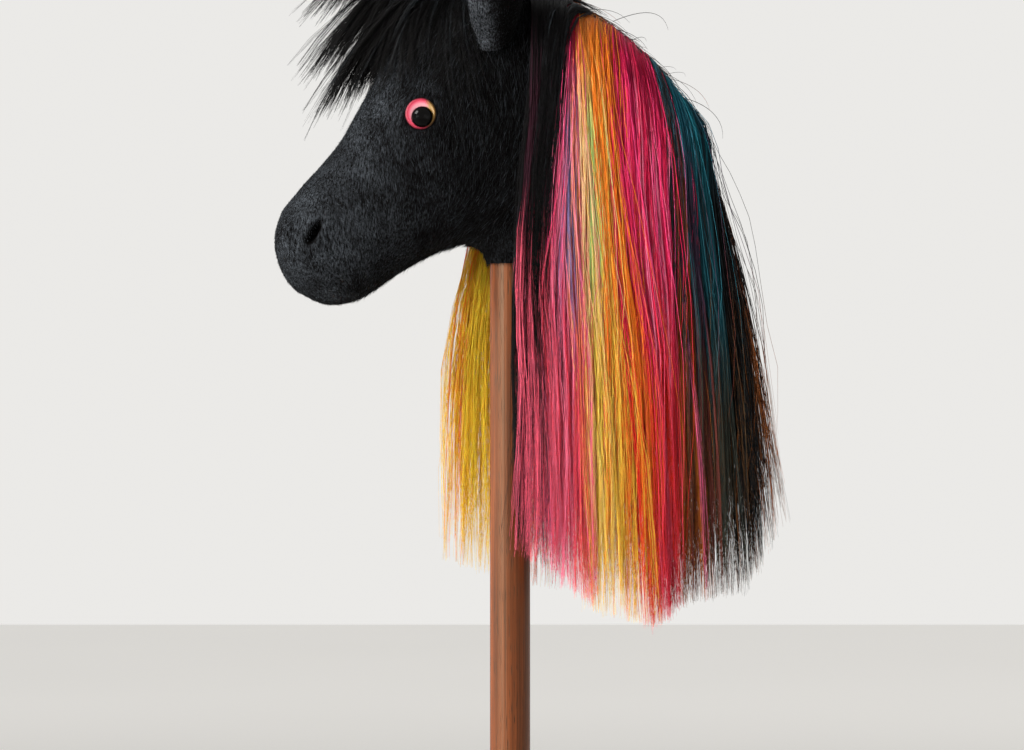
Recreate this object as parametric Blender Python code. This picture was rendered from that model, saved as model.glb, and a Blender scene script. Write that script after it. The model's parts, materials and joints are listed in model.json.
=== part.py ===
"""Hobby horse: a stuffed felt horse head with a dyed hair mane, on a round wooden stick.

Metres, +Z up. The origin is the centre of the stick's flat foot. The horse looks along -X, so its
near side (the horse's left) faces -Y and its far side faces +Y. Every piece is its own object.
"""

import math

import bmesh
import bpy
from mathutils import Matrix, Vector
from mathutils.bvhtree import BVHTree

MM = 0.001
GAP = 0.3 * MM  # between pieces that touch

# Stick and what it carries inside the head
STICK_RADIUS = 12.5 * MM
HEM_HEIGHT = 720.0 * MM  # from the foot to the bottom hem of the neck
STICK_IN_HEAD = 118.0 * MM
FOOT_CHAMFER = 2.0 * MM
TOP_ROUND = 4.0 * MM
PEG_RADIUS = 4.0 * MM
PEG_LENGTH = 62.0 * MM
PEG_ABOVE_HEM = 66.0 * MM
PAD_LENGTH = 34.0 * MM
PAD_WALL = 6.0 * MM
PAD_ROUND = 7.0 * MM

# Head: felt cover over stuffing. Each station is a cross-section from the underside of the head to
# its top line: (top x, z), (underside x, z), half width and how round the section is (1 is an
# ellipse, less is fuller). In mm, x from the stick's axis and z from the neck's hem.
COVER_THICKNESS = 2.2 * MM
SEAM_HALF_GAP = 0.15 * MM
STUFFING_GAP = 0.6 * MM  # inside the cover
HEAD_STATIONS = (
    ((-140.5, 35.5), (-132.0, -17.5), 23.5, 1.00),
    ((-129.0, 49.0), (-114.5, -25.5), 28.0, 0.95),
    ((-112.0, 68.0), (-94.5, -22.5), 30.0, 0.90),
    ((-98.0, 89.5), (-72.0, -7.0), 33.0, 0.86),
    ((-84.5, 112.5), (-49.5, 5.5), 37.5, 0.84),
    ((-68.5, 141.0), (-34.0, 11.5), 40.5, 0.84),
    ((-43.5, 166.5), (-28.6, 12.6), 41.0, 0.86),
    ((-6.0, 177.5), (-26.2, 11.6), 40.0, 0.88),
    ((31.0, 165.0), (-24.0, 10.9), 37.5, 0.90),
    ((67.5, 143.0), (-22.0, 10.1), 35.5, 0.92),
    ((98.5, 113.0), (-20.3, 9.3), 33.5, 0.94),
    ((115.5, 78.0), (-19.2, 8.6), 31.5, 0.96),
    ((110.0, 43.5), (-18.4, 7.9), 29.0, 0.98),
    ((82.0, 19.5), (-17.7, 7.2), 25.5, 1.00),
    ((42.0, 9.0), (-17.1, 6.3), 20.5, 1.00),
    ((22.0, 6.2), (-16.9, 5.6), 17.6, 1.00),
    ((15.8, 3.2), (-15.8, 3.6), 15.8, 1.00),
    ((15.0, 0.0), (-15.0, 0.0), 15.0, 1.00),
)
NOSE_BULGE = 9.5 * MM  # how far the rounded nose stands before the first station
NOSE_FORWARD = Vector((-1.0, 0.0, -0.22)).normalized()
NOSE_RINGS = 4
NOSE_TURN = math.radians(40)  # how far it already turns in where it leaves the first station
RINGS_PER_STATION = 2
RING_POINTS = 28
STUFFING_LAST_STATION = 13.5
CLEAR_OF_HEAD = 300.0 * MM  # from the middle, where lines that look for the skin start
HEM_ROOM_RADIUS = 22.0 * MM  # left free of stuffing, for the gathered hem and its cord
HEM_ROOM_HEIGHT = 13.0 * MM

# Eyes: a black domed button on a shank, over a dished two-colour washer that sits low behind it
EYE_AT = (-54.6, 90.8)  # mm, x and z as above
EYE_SEAT_DEPTH = 0.9 * MM
IRIS_RADIUS = 9.6 * MM
IRIS_THICKNESS = 2.2 * MM
IRIS_RIM = 1.2 * MM
IRIS_CHAMFER = 0.5 * MM
IRIS_FLAT = 4.5 * MM
IRIS_DISH = 1.1 * MM
PUPIL_RADIUS = 6.5 * MM
PUPIL_HEIGHT = 4.6 * MM
PUPIL_EDGE = 0.9 * MM
PUPIL_CHAMFER = 0.3 * MM
PUPIL_DROP = 2.1 * MM  # from the washer's middle
PUPIL_BACK = 0.9 * MM
SHANK_RADIUS = 2.4 * MM
SHANK_LENGTH = 11.0 * MM
SHANK_POINT = 0.6 * MM
LOCK_RADIUS = 8.0 * MM
LOCK_THICKNESS = 1.4 * MM
LOCK_BEHIND_COVER = 1.9 * MM  # because the cover curves and the lock is flat
CUT_THROUGH = 20.0 * MM  # each way, for a cutter that goes right through a thin piece

# Nostrils: a slanted slit pressed into each side, pulled in by one thread through the muzzle
NOSTRIL_AT = (-120.5, 18.7)
NOSTRIL_RADII = (8.6 * MM, 1.5 * MM, 3.2 * MM)  # along the slit, into the felt, across the slit
NOSTRIL_TILT = math.radians(58)
THREAD_RADIUS = 0.6 * MM
KNOT_RADIUS = 1.5 * MM

# Drawcord that gathers the hem round the stick
CORD_RADIUS = 0.5 * MM
CORD_ABOVE_HEM = 5.4 * MM

# Ears
EAR_BASE = (-12.0, 33.5, 137.0)  # mm: x, distance from the middle, z above the hem
EAR_LENGTH = 82.0 * MM
EAR_UP = Vector((-0.10, 0.20, 0.97))
EAR_OPENING = Vector((-0.88, 0.47, 0.0))
EAR_SHAPE = (  # share of the length, radius in mm, half angle of the curl in degrees
    (0.00, 15.5, 126.0),
    (0.20, 19.5, 116.0),
    (0.42, 22.5, 94.0),
    (0.66, 22.5, 64.0),
    (0.85, 19.5, 34.0),
    (1.00, 16.0, 6.0),
)
EAR_LEAN = 9.0 * MM  # how far the tip lies back
EAR_WALL = 1.8 * MM
LINING_WALL = 1.0 * MM
LINING_GAP = 0.6 * MM
LINING_SHARE = 0.93  # of the back's length and curl
EAR_ROWS = 11
EAR_COLUMNS = 12

# Mane: tresses hang from a tape along the crest. A tress lies between two partings, and each
# parting is a quadratic curve: its root's place on the crest in stations, a pull point and a tip.
TAPE_THICKNESS = 1.4 * MM
MANE_TAPE_STATIONS = (7.5, 11.0)
FORELOCK_TAPE_STATIONS = (6.5, 7.0)
NEAR_PARTINGS = (
    (7.50, (5.0, 40.0), (1.5, -150.0)),
    (8.00, (25.5, 9.0), (29.0, -187.0)),
    (8.35, (45.5, -22.0), (60.0, -216.0)),
    (9.05, (70.0, 3.0), (94.0, -221.0)),
    (9.80, (113.0, 9.0), (112.0, -217.0)),
    (10.40, (140.0, 21.0), (151.0, -206.0)),
    (10.80, (163.0, 18.0), (176.0, -176.0)),
)
NEAR_TRESSES = ("black_front", "pink", "orange", "magenta", "teal", "black_back")
FAR_PARTINGS = (
    (7.65, (-31.0, -32.0), (-41.0, -184.0)),
    (8.10, (-9.0, -22.0), (-9.0, -194.0)),
    (8.75, (20.0, -22.0), (23.0, -203.0)),
    (9.75, (69.0, -10.0), (72.0, -209.0)),
    (10.80, (134.0, 3.0), (134.0, -200.0)),
)
FAR_TRESSES = ("yellow", "orange", "crimson", "black")
NEAR_FLAPS = {"front": (0, 3), "back": (3, 6)}
FAR_FLAPS = {"front": (0, 2), "back": (2, 4)}
TRESS_THICKNESS = 9.0 * MM
TRESS_PARTING_GAP = 1.2 * MM
TRESS_STEPS = 14
TRESS_POINTS = 16  # round a tress's cross-section
TRESS_RIDGES = 3.0
TRESS_RIDGE_DEPTH = 0.28
TRESS_ROOT_SHARE = 0.62  # of the full thickness at the root
TRESS_ROOT_RUN = 6.0  # the full thickness is reached one sixth of the way down
TRESS_RIDGE_RUN = 3.0  # and the full ridges one third of the way
TRESS_TIP_SHARE = 0.16  # of the full thickness left at the tip
TRESS_TIP_CURVE = 2.2  # how late the tress thins: 1 is evenly, more is nearer the tip
TRESS_TIP_TAPER = 0.35  # of the width lost at the tip
TRESS_TAPER_FROM = 0.7  # share of the length
TRESS_RAGGED = 9.0 * MM  # how far the ridges run past the hollows at the tip
TRESS_RAGGED_FROM = 0.8
ROOT_CROWDING = 1.6  # more than 1 puts a tress's rows closer together near its root
HAIR_STANDOFF = 7.5 * MM  # from the felt to the middle of a tress
HANG_RELAX = 0.9 * MM  # how far hanging hair leans back in, for each step down
ROOT_FROM_MIDDLE = 5.2 * MM
FORELOCK_MIDDLE = {  # the left edge of each: root, pull point and tip in mm
    "under": ((-6.0, -8.0, 190.0), (-76.0, -9.0, 181.0), (-117.0, -9.0, 92.0)),
    "middle": ((-2.0, -10.0, 199.0), (-72.0, -16.0, 202.0), (-130.0, -14.0, 118.0)),
    "over": ((4.0, -9.0, 208.0), (-60.0, -14.0, 228.0), (-127.0, -16.0, 150.0)),
}
FORELOCK_THICKNESS = 12.0 * MM
FORELOCK_SIDE = (
    ((-33.0, 0.0, 174.0), (-54.0, 0.0, 163.0), (-66.0, 0.0, 98.0)),
    ((-42.0, 0.0, 171.0), (-74.0, 0.0, 163.0), (-93.0, 0.0, 106.0)),
)
FORELOCK_SIDE_OUT = 13.0 * MM
FORELOCK_HINGE = (0.0, 0.0, 199.0)
MANE_OUTWARDS = (0.2, 1.0, 0.5)  # the way a tress's upper face looks, for the far side
FORELOCK_OUTWARDS = (-0.4, 0.0, 1.0)
FORELOCK_SIDE_OUTWARDS = (0.0, 1.0, 0.3)

COLOURS = {
    "felt": ((0.018, 0.019, 0.021), 0.95),
    "stuffing": ((0.75, 0.73, 0.68), 0.95),
    "wood": ((0.30, 0.13, 0.055), 0.45),
    "peg_wood": ((0.62, 0.45, 0.28), 0.70),
    "foam": ((0.55, 0.55, 0.50), 0.90),
    "lining": ((0.030, 0.030, 0.034), 0.95),
    "iris": ((0.90, 0.22, 0.30), 0.55),
    "pupil": ((0.008, 0.008, 0.009), 0.08),
    "lock_plastic": ((0.80, 0.80, 0.78), 0.50),
    "thread": ((0.015, 0.015, 0.015), 0.85),
    "tape": ((0.020, 0.018, 0.018), 0.90),
    "black_hair": ((0.014, 0.012, 0.012), 0.45),
    "pink_hair": ((0.86, 0.14, 0.26), 0.45),
    "orange_hair": ((0.86, 0.36, 0.08), 0.45),
    "magenta_hair": ((0.66, 0.05, 0.16), 0.45),
    "teal_hair": ((0.02, 0.13, 0.16), 0.45),
    "yellow_hair": ((0.95, 0.66, 0.06), 0.45),
}
TRESS_COLOURS = {
    "black_front": "black_hair",
    "black_back": "black_hair",
    "black": "black_hair",
    "crimson": "magenta_hair",
}


def clear_scene():
    """Removes every object, so that the script also runs in an open file."""
    for obj in list(bpy.data.objects):
        bpy.data.objects.remove(obj)


def material(name):
    """The named finish as a Principled BSDF, made once."""
    found = bpy.data.materials.get(name)
    if found:
        return found
    colour, roughness = COLOURS[name]
    made = bpy.data.materials.new(name)
    made.use_nodes = True
    shader = made.node_tree.nodes["Principled BSDF"]
    shader.inputs["Base Color"].default_value = (*colour, 1.0)
    shader.inputs["Roughness"].default_value = roughness
    shader.inputs["Metallic"].default_value = 0.0
    return made


def object_from(name, bm, finish, smooth=True):
    """Turns a bmesh into a named object with its finish."""
    bmesh.ops.recalc_face_normals(bm, faces=bm.faces)
    mesh = bpy.data.meshes.new(name)
    bm.to_mesh(mesh)
    bm.free()
    if smooth:
        mesh.shade_smooth()
        mesh.set_sharp_from_angle(angle=math.radians(40))
    obj = bpy.data.objects.new(name, mesh)
    bpy.context.scene.collection.objects.link(obj)
    if finish:
        mesh.materials.append(material(finish))
    return obj


def as_cutter(obj):
    """Marks a helper that only cuts, so that it is neither rendered nor built."""
    obj.hide_render = True
    obj.display_type = "WIRE"
    return obj


def boolean(obj, other, operation="DIFFERENCE"):
    """Adds an exact Boolean modifier."""
    modifier = obj.modifiers.new(f"{operation.lower()}_{other.name}", "BOOLEAN")
    modifier.operation = operation
    modifier.solver = "EXACT"
    modifier.object = other


def lathe(name, profile, finish, segments=32):
    """Turns (radius, height) points about Z. The profile starts and ends on the axis."""
    bm = bmesh.new()
    points = [bm.verts.new((radius, 0.0, height)) for radius, height in profile]
    edges = [bm.edges.new(pair) for pair in zip(points, points[1:])]
    bmesh.ops.spin(
        bm,
        geom=points + edges,
        axis=(0, 0, 1),
        cent=(0, 0, 0),
        angle=math.tau,
        steps=segments,
        use_merge=True,
    )
    bmesh.ops.remove_doubles(bm, verts=bm.verts, dist=1e-6)
    return object_from(name, bm, finish)


def align(obj, place, axis):
    """Puts obj at place with its own Z along axis."""
    obj.rotation_mode = "QUATERNION"
    obj.rotation_quaternion = Vector((0, 0, 1)).rotation_difference(axis)
    obj.location = place
    return obj


def rounded(start, end, centre, radius, steps):
    """Points of an arc in (radius, height) space, from one angle to another in degrees."""
    angles = [math.radians(start + (end - start) * i / steps) for i in range(steps + 1)]
    return [(centre[0] + radius * math.cos(a), centre[1] + radius * math.sin(a)) for a in angles]


def catmull_rom(values, place):
    """A smooth value through a list, at a place counted in list steps."""
    last = len(values) - 1
    i = min(int(place), last - 1)
    t = place - i
    p1, p2 = values[i], values[i + 1]
    p0 = values[i - 1] if i else 2 * p1 - p2
    p3 = values[i + 2] if i + 2 <= last else 2 * p2 - p1
    return 0.5 * (
        2 * p1
        + (p2 - p0) * t
        + (2 * p0 - 5 * p1 + 4 * p2 - p3) * t * t
        + (3 * p1 - 3 * p2 + p3 - p0) * t**3
    )


def quadratic(start, pull, end, t):
    """A point of a quadratic curve."""
    return start * (1 - t) ** 2 + pull * 2 * t * (1 - t) + end * t * t


def in_head(x, y, z):
    """A place given in mm from the stick's axis and the hem, in the part's frame."""
    return Vector((x * MM, y * MM, HEM_HEIGHT + z * MM))


TOPS = [in_head(top[0], 0, top[1]) for top, _, _, _ in HEAD_STATIONS]
UNDERSIDES = [in_head(under[0], 0, under[1]) for _, under, _, _ in HEAD_STATIONS]
HALF_WIDTHS = [width * MM for _, _, width, _ in HEAD_STATIONS]
ROUNDNESS = [roundness for _, _, _, roundness in HEAD_STATIONS]


def head_section(station, scale=1.0, shift=Vector()):
    """The points of one cross-section: the underside first, then round by the near side."""
    top, under = catmull_rom(TOPS, station), catmull_rom(UNDERSIDES, station)
    width, power = catmull_rom(HALF_WIDTHS, station), catmull_rom(ROUNDNESS, station)
    middle, half = (top + under) / 2 + shift, (top - under) / 2 * scale
    ring = []
    for i in range(RING_POINTS):
        angle = math.tau * i / RING_POINTS
        side = math.sin(angle)
        bulge = -math.copysign(abs(side) ** power, side) if abs(side) > 1e-9 else 0.0
        ring.append(middle - half * math.cos(angle) + Vector((0, bulge * width * scale, 0)))
    return ring


def head_rings(last_station):
    """The head's cross-sections: the rounded nose, then the stations up to last_station."""
    rings = []
    for i in range(1, NOSE_RINGS + 1):
        turn = math.pi / 2 + (NOSE_TURN - math.pi / 2) * i / (NOSE_RINGS + 1)
        ahead = (math.sin(turn) - math.sin(NOSE_TURN)) / (1 - math.sin(NOSE_TURN))
        scale = math.cos(turn) / math.cos(NOSE_TURN)
        rings.append(head_section(0, scale, NOSE_FORWARD * NOSE_BULGE * ahead))
    steps = round(last_station * RINGS_PER_STATION)
    rings += [head_section(i / RINGS_PER_STATION) for i in range(steps + 1)]
    tip = (TOPS[0] + UNDERSIDES[0]) / 2 + NOSE_FORWARD * NOSE_BULGE
    return tip, rings


def head_surface(last_station, cap_end):
    """The head's outer skin as a bmesh, with its nose tip and rings of vertices."""
    tip_place, places = head_rings(last_station)
    bm = bmesh.new()
    tip = bm.verts.new(tip_place)
    rings = [[bm.verts.new(place) for place in ring] for ring in places]
    following = [(i, (i + 1) % RING_POINTS) for i in range(RING_POINTS)]
    for a, b in following:
        bm.faces.new((tip, rings[0][b], rings[0][a]))
    for first, second in zip(rings, rings[1:]):
        for a, b in following:
            bm.faces.new((first[a], first[b], second[b], second[a]))
    if cap_end:
        bm.faces.new(reversed(rings[-1]))
    bmesh.ops.recalc_face_normals(bm, faces=bm.faces)
    bm.normal_update()
    return bm, tip, rings


class HeadSkin:
    """The head's outer skin, with the places and outward directions of its points."""

    def __init__(self):
        bm, tip, rings = head_surface(len(HEAD_STATIONS) - 1, cap_end=False)
        self.tip = (tip.co.copy(), tip.normal.copy())
        self.rings = [[(v.co.copy(), v.normal.copy()) for v in ring] for ring in rings]
        self.tree = BVHTree.FromBMesh(bm)
        bm.free()

    def side_point(self, x, z, side):
        """Where a line along Y at x and z meets the skin from that side, or None."""
        start = Vector((x, side * CLEAR_OF_HEAD, z))
        place, normal, _, _ = self.tree.ray_cast(start, Vector((0, -side, 0)))
        return (place, normal) if place else None

    def half_width(self, x, z):
        """How far the skin stands from the middle at x and z: 0 outside the head."""
        found = self.side_point(x, z, -1)
        return -found[0].y if found else 0.0

    def lifted(self, place, distance):
        """The place, moved outwards until it stands at least distance clear of the skin."""
        for _ in range(3):
            near, normal, _, _ = self.tree.find_nearest(place)
            short = distance - (place - near).dot(normal)
            if short > 0:
                place = place + normal * short
        return place

    def crest(self, station):
        """A place on the head's top line."""
        return catmull_rom(TOPS, station)


def pushed(point, distance):
    """A skin point moved outwards along its normal."""
    place, normal = point
    return place + normal * distance


def shell_between(name, rows, near, far, finish, pole=None):
    """A closed shell over a grid of skin points, between two distances from the skin."""
    bm = bmesh.new()
    layers = [[[bm.verts.new(pushed(p, d)) for p in row] for row in rows] for d in (near, far)]
    inner, outer = layers
    for grid in layers:
        for first, second in zip(grid, grid[1:]):
            for i in range(len(first) - 1):
                bm.faces.new((first[i], first[i + 1], second[i + 1], second[i]))
    edges = [
        ([row[0] for row in inner], [row[0] for row in outer]),
        ([row[-1] for row in inner], [row[-1] for row in outer]),
        (inner[-1], outer[-1]),
    ]
    if pole:
        poles = [bm.verts.new(pushed(pole, d)) for d in (near, far)]
        for centre, grid in zip(poles, layers):
            for i in range(len(grid[0]) - 1):
                bm.faces.new((centre, grid[0][i], grid[0][i + 1]))
        edges[0] = ([poles[0], *edges[0][0]], [poles[1], *edges[0][1]])
        edges[1] = ([poles[0], *edges[1][0]], [poles[1], *edges[1][1]])
    else:
        edges.append((inner[0], outer[0]))
    for below, above in edges:
        for i in range(len(below) - 1):
            bm.faces.new((below[i], below[i + 1], above[i + 1], above[i]))
    return object_from(name, bm, finish)


def cover_half(skin, side):
    """One felt half of the head, from the seam under the head to the seam on top."""
    half = RING_POINTS // 2

    def at_seam(point):
        place, normal = point
        offset = Vector((0, side * SEAM_HALF_GAP, 0))
        return place + offset, Vector((normal.x, 0, normal.z)).normalized()

    rows = []
    for ring in skin.rings:
        if side < 0:
            row = ring[: half + 1]
        else:
            row = [ring[0], *reversed(ring[half:])]
        rows.append([at_seam(row[0]), *row[1:-1], at_seam(row[-1])])
    name = "near_side_cover" if side < 0 else "far_side_cover"
    return shell_between(name, rows, -COVER_THICKNESS, 0.0, "felt", pole=at_seam(skin.tip))


def stuffing():
    """The stuffed core, just inside the cover, closed a little above the hem."""
    bm, _, _ = head_surface(STUFFING_LAST_STATION, cap_end=True)
    inwards = {v: v.normal * (COVER_THICKNESS + STUFFING_GAP) for v in bm.verts}
    for vertex, step in inwards.items():
        vertex.co -= step
    return object_from("head_stuffing", bm, "stuffing")


def stick():
    """The round stick: a flat chamfered foot and a rounded top end, bored for the peg."""
    top = HEM_HEIGHT + STICK_IN_HEAD
    profile = [(0, 0), (STICK_RADIUS - FOOT_CHAMFER, 0), (STICK_RADIUS, FOOT_CHAMFER)]
    profile += rounded(0, 90, (STICK_RADIUS - TOP_ROUND, top - TOP_ROUND), TOP_ROUND, 4)
    made = lathe("stick", [*profile, (0, top)], "wood", 40)
    boolean(made, peg_shape("peg_bore", PEG_RADIUS + GAP, PEG_LENGTH, cutter=True))
    return made


def peg_shape(name, radius, length, cutter=False):
    """A round bar along X through the stick, with chamfered ends on the real peg."""
    edge = 0.0 if cutter else 0.8 * MM
    half = length / 2
    profile = [(0, -half), (radius - edge, -half)]
    if edge:
        profile += [(radius, edge - half), (radius, half - edge)]
    profile += [(radius - edge, half), (0, half)]
    made = lathe(name, profile, None if cutter else "peg_wood", 16)
    align(made, Vector((0, 0, HEM_HEIGHT + PEG_ABOVE_HEM)), Vector((1, 0, 0)))
    return as_cutter(made) if cutter else made


def pad_profile(grow):
    """The foam cap over the stick's top, as a turned outline grown by grow."""
    top = HEM_HEIGHT + STICK_IN_HEAD
    outer = STICK_RADIUS + PAD_WALL + grow
    shoulder = top + PAD_WALL + grow
    return rounded(0, 90, (outer - PAD_ROUND, shoulder - PAD_ROUND), PAD_ROUND, 4), outer


def stick_pad():
    """A foam cap that keeps the stick's end from poking through the stuffing."""
    over, outer = pad_profile(0)
    top = HEM_HEIGHT + STICK_IN_HEAD
    bottom = top - PAD_LENGTH
    bore = STICK_RADIUS + GAP
    profile = [(0, top + GAP), (bore, top + GAP), (bore, bottom), (outer, bottom), *over]
    return lathe("stick_pad", [*profile, (0, over[-1][1])], "foam", 24)


def stick_bore():
    """The hole that the stick and its pad take up in the stuffing."""
    over, outer = pad_profile(GAP)
    bore = STICK_RADIUS + 2 * GAP
    step = HEM_HEIGHT + STICK_IN_HEAD - PAD_LENGTH - GAP
    hem_room = HEM_HEIGHT + HEM_ROOM_HEIGHT
    profile = [(0, HEM_HEIGHT - CUT_THROUGH), (HEM_ROOM_RADIUS, HEM_HEIGHT - CUT_THROUGH)]
    profile += [(HEM_ROOM_RADIUS, hem_room), (bore, hem_room), (bore, step), (outer, step)]
    return as_cutter(lathe("stick_bore", [*profile, *over, (0, over[-1][1])], None, 24))


def drawcord():
    """The cord inside the hem, drawn tight round the stick."""
    radius = STICK_RADIUS + GAP + CORD_RADIUS
    profile = rounded(-180, 180, (radius, HEM_HEIGHT + CORD_ABOVE_HEM), CORD_RADIUS, 8)
    bm = bmesh.new()
    points = [bm.verts.new((r, 0, z)) for r, z in profile[:-1]]
    edges = [bm.edges.new((points[i - 1], points[i])) for i in range(len(points))]
    bmesh.ops.spin(
        bm,
        geom=points + edges,
        axis=(0, 0, 1),
        cent=(0, 0, 0),
        angle=math.tau,
        steps=24,
        use_merge=True,
    )
    bmesh.ops.remove_doubles(bm, verts=bm.verts, dist=1e-6)
    return object_from("neck_drawcord", bm, "thread")


def ellipsoid(name, radii):
    """A ball scaled to radii, that only cuts."""
    bm = bmesh.new()
    bmesh.ops.create_uvsphere(bm, u_segments=16, v_segments=8, radius=1)
    bmesh.ops.scale(bm, verts=bm.verts, vec=radii)
    return object_from(name, bm, None)


def side_name(side):
    """The name of the horse's side: near is -Y."""
    return "near" if side < 0 else "far"


def bar_cutter(name, radius, ends, place, axis, segments=12):
    """A plain round cutter along axis, between two distances from place."""
    start, end = ends
    made = lathe(name, [(0, start), (radius, start), (radius, end), (0, end)], None, segments)
    return as_cutter(align(made, place, axis))


def dome(radius, base, height, steps=6):
    """The outline of a dome over a flat disc: (radius, height) points from its rim to its top."""
    arc = rounded(0, 90, (0, 0), 1.0, steps)
    return [(radius * r, base + (height - base) * h) for r, h in arc[:-1]] + [(0, height)]


def eye_washer(word, seat, shank_at, normal):
    """The coloured ring behind the button: a disc with a rounded rim and a flat, low middle."""
    rim_centre = (IRIS_RADIUS - IRIS_RIM, IRIS_THICKNESS - IRIS_RIM + GAP)
    profile = [(0, GAP), (IRIS_RADIUS - IRIS_CHAMFER, GAP), (IRIS_RADIUS, IRIS_CHAMFER + GAP)]
    profile += rounded(0, 90, rim_centre, IRIS_RIM, 4)
    profile += [(IRIS_FLAT, IRIS_DISH + GAP), (0, IRIS_DISH + GAP)]
    washer = align(lathe(f"{word}_eye_washer", profile, "iris", 28), seat, normal)
    button_bed = (IRIS_DISH + GAP, CUT_THROUGH)
    for name, radius, ends in (
        (f"{word}_washer_hole", SHANK_RADIUS + GAP, (-CUT_THROUGH, CUT_THROUGH)),
        (f"{word}_button_bed", PUPIL_RADIUS + GAP, button_bed),
    ):
        boolean(washer, bar_cutter(name, radius, ends, shank_at, normal, 24))


def eye_button(word, place, normal):
    """The glossy black pupil: a dome on a shank that goes through the cover."""
    profile = [(0, -SHANK_LENGTH), (SHANK_RADIUS - SHANK_POINT, -SHANK_LENGTH)]
    profile += [(SHANK_RADIUS, 2 * SHANK_POINT - SHANK_LENGTH), (SHANK_RADIUS, 0)]
    profile += [(PUPIL_RADIUS - PUPIL_CHAMFER, 0)]
    profile += dome(PUPIL_RADIUS, PUPIL_EDGE, PUPIL_HEIGHT)
    align(lathe(f"{word}_eye_button", profile, "pupil", 24), place, normal)


def eye_lock(word, core, place, normal):
    """The toothless push-on lock inside the cover, and the room for it in the stuffing."""
    profile = [(0, 0), (LOCK_RADIUS, 0), (LOCK_RADIUS, LOCK_THICKNESS), (0, LOCK_THICKNESS)]
    lock = align(lathe(f"{word}_eye_lock", profile, "lock_plastic", 24), place, normal)
    through = (-CUT_THROUGH, CUT_THROUGH)
    boolean(lock, bar_cutter(f"{word}_lock_bore", SHANK_RADIUS + GAP, through, place, normal))
    clear = 3 * GAP
    for name, radius, start in (
        (f"{word}_shank_room", SHANK_RADIUS + clear, -SHANK_LENGTH),
        (f"{word}_lock_room", LOCK_RADIUS + clear, -clear),
    ):
        boolean(core, bar_cutter(name, radius, (start, CUT_THROUGH), place, normal, 20))


def eye(skin, cover, core, side):
    """One eye: its seat and hole in the cover, then washer, button and lock."""
    word = side_name(side)
    x, _, z = in_head(EYE_AT[0], 0, EYE_AT[1])
    place, normal = skin.side_point(x, z, side)
    down = (Vector((0, 0, -1)) + normal * normal.z).normalized()
    back = down.cross(normal)
    back = back if back.x > 0 else -back
    seat = place - normal * EYE_SEAT_DEPTH
    shank_at = seat + down * PUPIL_DROP + back * PUPIL_BACK
    through = (-CUT_THROUGH, CUT_THROUGH)
    seat_ends = (0, CUT_THROUGH)
    boolean(cover, bar_cutter(f"{word}_eye_seat", IRIS_RADIUS + GAP, seat_ends, seat, normal, 28))
    boolean(cover, bar_cutter(f"{word}_eye_hole", SHANK_RADIUS + GAP, through, shank_at, normal))
    eye_washer(word, seat, shank_at, normal)
    eye_button(word, shank_at + normal * (IRIS_DISH + 2 * GAP), normal)
    lock_depth = COVER_THICKNESS - EYE_SEAT_DEPTH + LOCK_BEHIND_COVER + LOCK_THICKNESS
    eye_lock(word, core, shank_at - normal * lock_depth, normal)


def nostrils(skin, near_cover, far_cover, core):
    """Both nostril slits, and the knotted thread through the muzzle that draws them in."""
    x, _, z = in_head(NOSTRIL_AT[0], 0, NOSTRIL_AT[1])
    middle, across = Vector((x, 0, z)), Vector((0, 1, 0))
    slope = Vector((math.cos(NOSTRIL_TILT), 0, math.sin(NOSTRIL_TILT)))
    tilt = Vector((1, 0, 0)).rotation_difference(slope)
    for side, cover in ((-1, near_cover), (1, far_cover)):
        place, normal = skin.side_point(x, z, side)
        slit = ellipsoid(f"{side_name(side)}_nostril", NOSTRIL_RADII)
        slit.rotation_mode = "QUATERNION"
        slit.rotation_quaternion = Vector((0, side, 0)).rotation_difference(normal) @ tilt
        slit.location = place
        boolean(cover, as_cutter(slit))
    muzzle = (-2 * CUT_THROUGH, 2 * CUT_THROUGH)
    bore = bar_cutter("thread_bore", THREAD_RADIUS + GAP, muzzle, middle, across, 8)
    for piece in (near_cover, far_cover, core):
        boolean(piece, bore)
    knot_y = skin.half_width(x, z) - NOSTRIL_RADII[1] + KNOT_RADIUS
    knot = rounded(-60, 60, (0, knot_y), KNOT_RADIUS, 6)
    outer = [(THREAD_RADIUS, knot[0][1]), *knot[1:], (0, knot[-1][1])]
    inner = [(radius, -height) for radius, height in reversed(outer)]
    align(lathe("nostril_thread", inner + outer, "thread", 8), middle, across)


def ear_grid(side, shrink, length_share, curl_share):
    """Points of one ear's curled leaf shape, moved in from its outer face by shrink."""
    up = Vector((EAR_UP.x, side * EAR_UP.y, EAR_UP.z)).normalized()
    opening = Vector((EAR_OPENING.x, side * EAR_OPENING.y, 0))
    opening = (opening - up * opening.dot(up)).normalized()
    across = up.cross(opening)
    x, y, z = EAR_BASE
    base = in_head(x, side * y, z)
    heights = [height for height, _, _ in EAR_SHAPE]
    radii = [radius * MM for _, radius, _ in EAR_SHAPE]
    curls = [math.radians(curl) for _, _, curl in EAR_SHAPE]
    rows = []
    for i in range(EAR_ROWS):
        share = i / (EAR_ROWS - 1) * length_share
        j = max(k for k in range(len(heights) - 1) if heights[k] <= share)
        place = j + (share - heights[j]) / (heights[j + 1] - heights[j])
        radius = catmull_rom(radii, place) - shrink
        curl = catmull_rom(curls, place) * curl_share
        lean = opening * (-EAR_LEAN * share * share)
        row = []
        for k in range(EAR_COLUMNS + 1):
            angle = curl * (2 * k / EAR_COLUMNS - 1)
            outwards = across * math.sin(angle) - opening * math.cos(angle)
            row.append((base + up * EAR_LENGTH * share + lean + outwards * radius, outwards))
        rows.append(row)
    return rows


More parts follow.
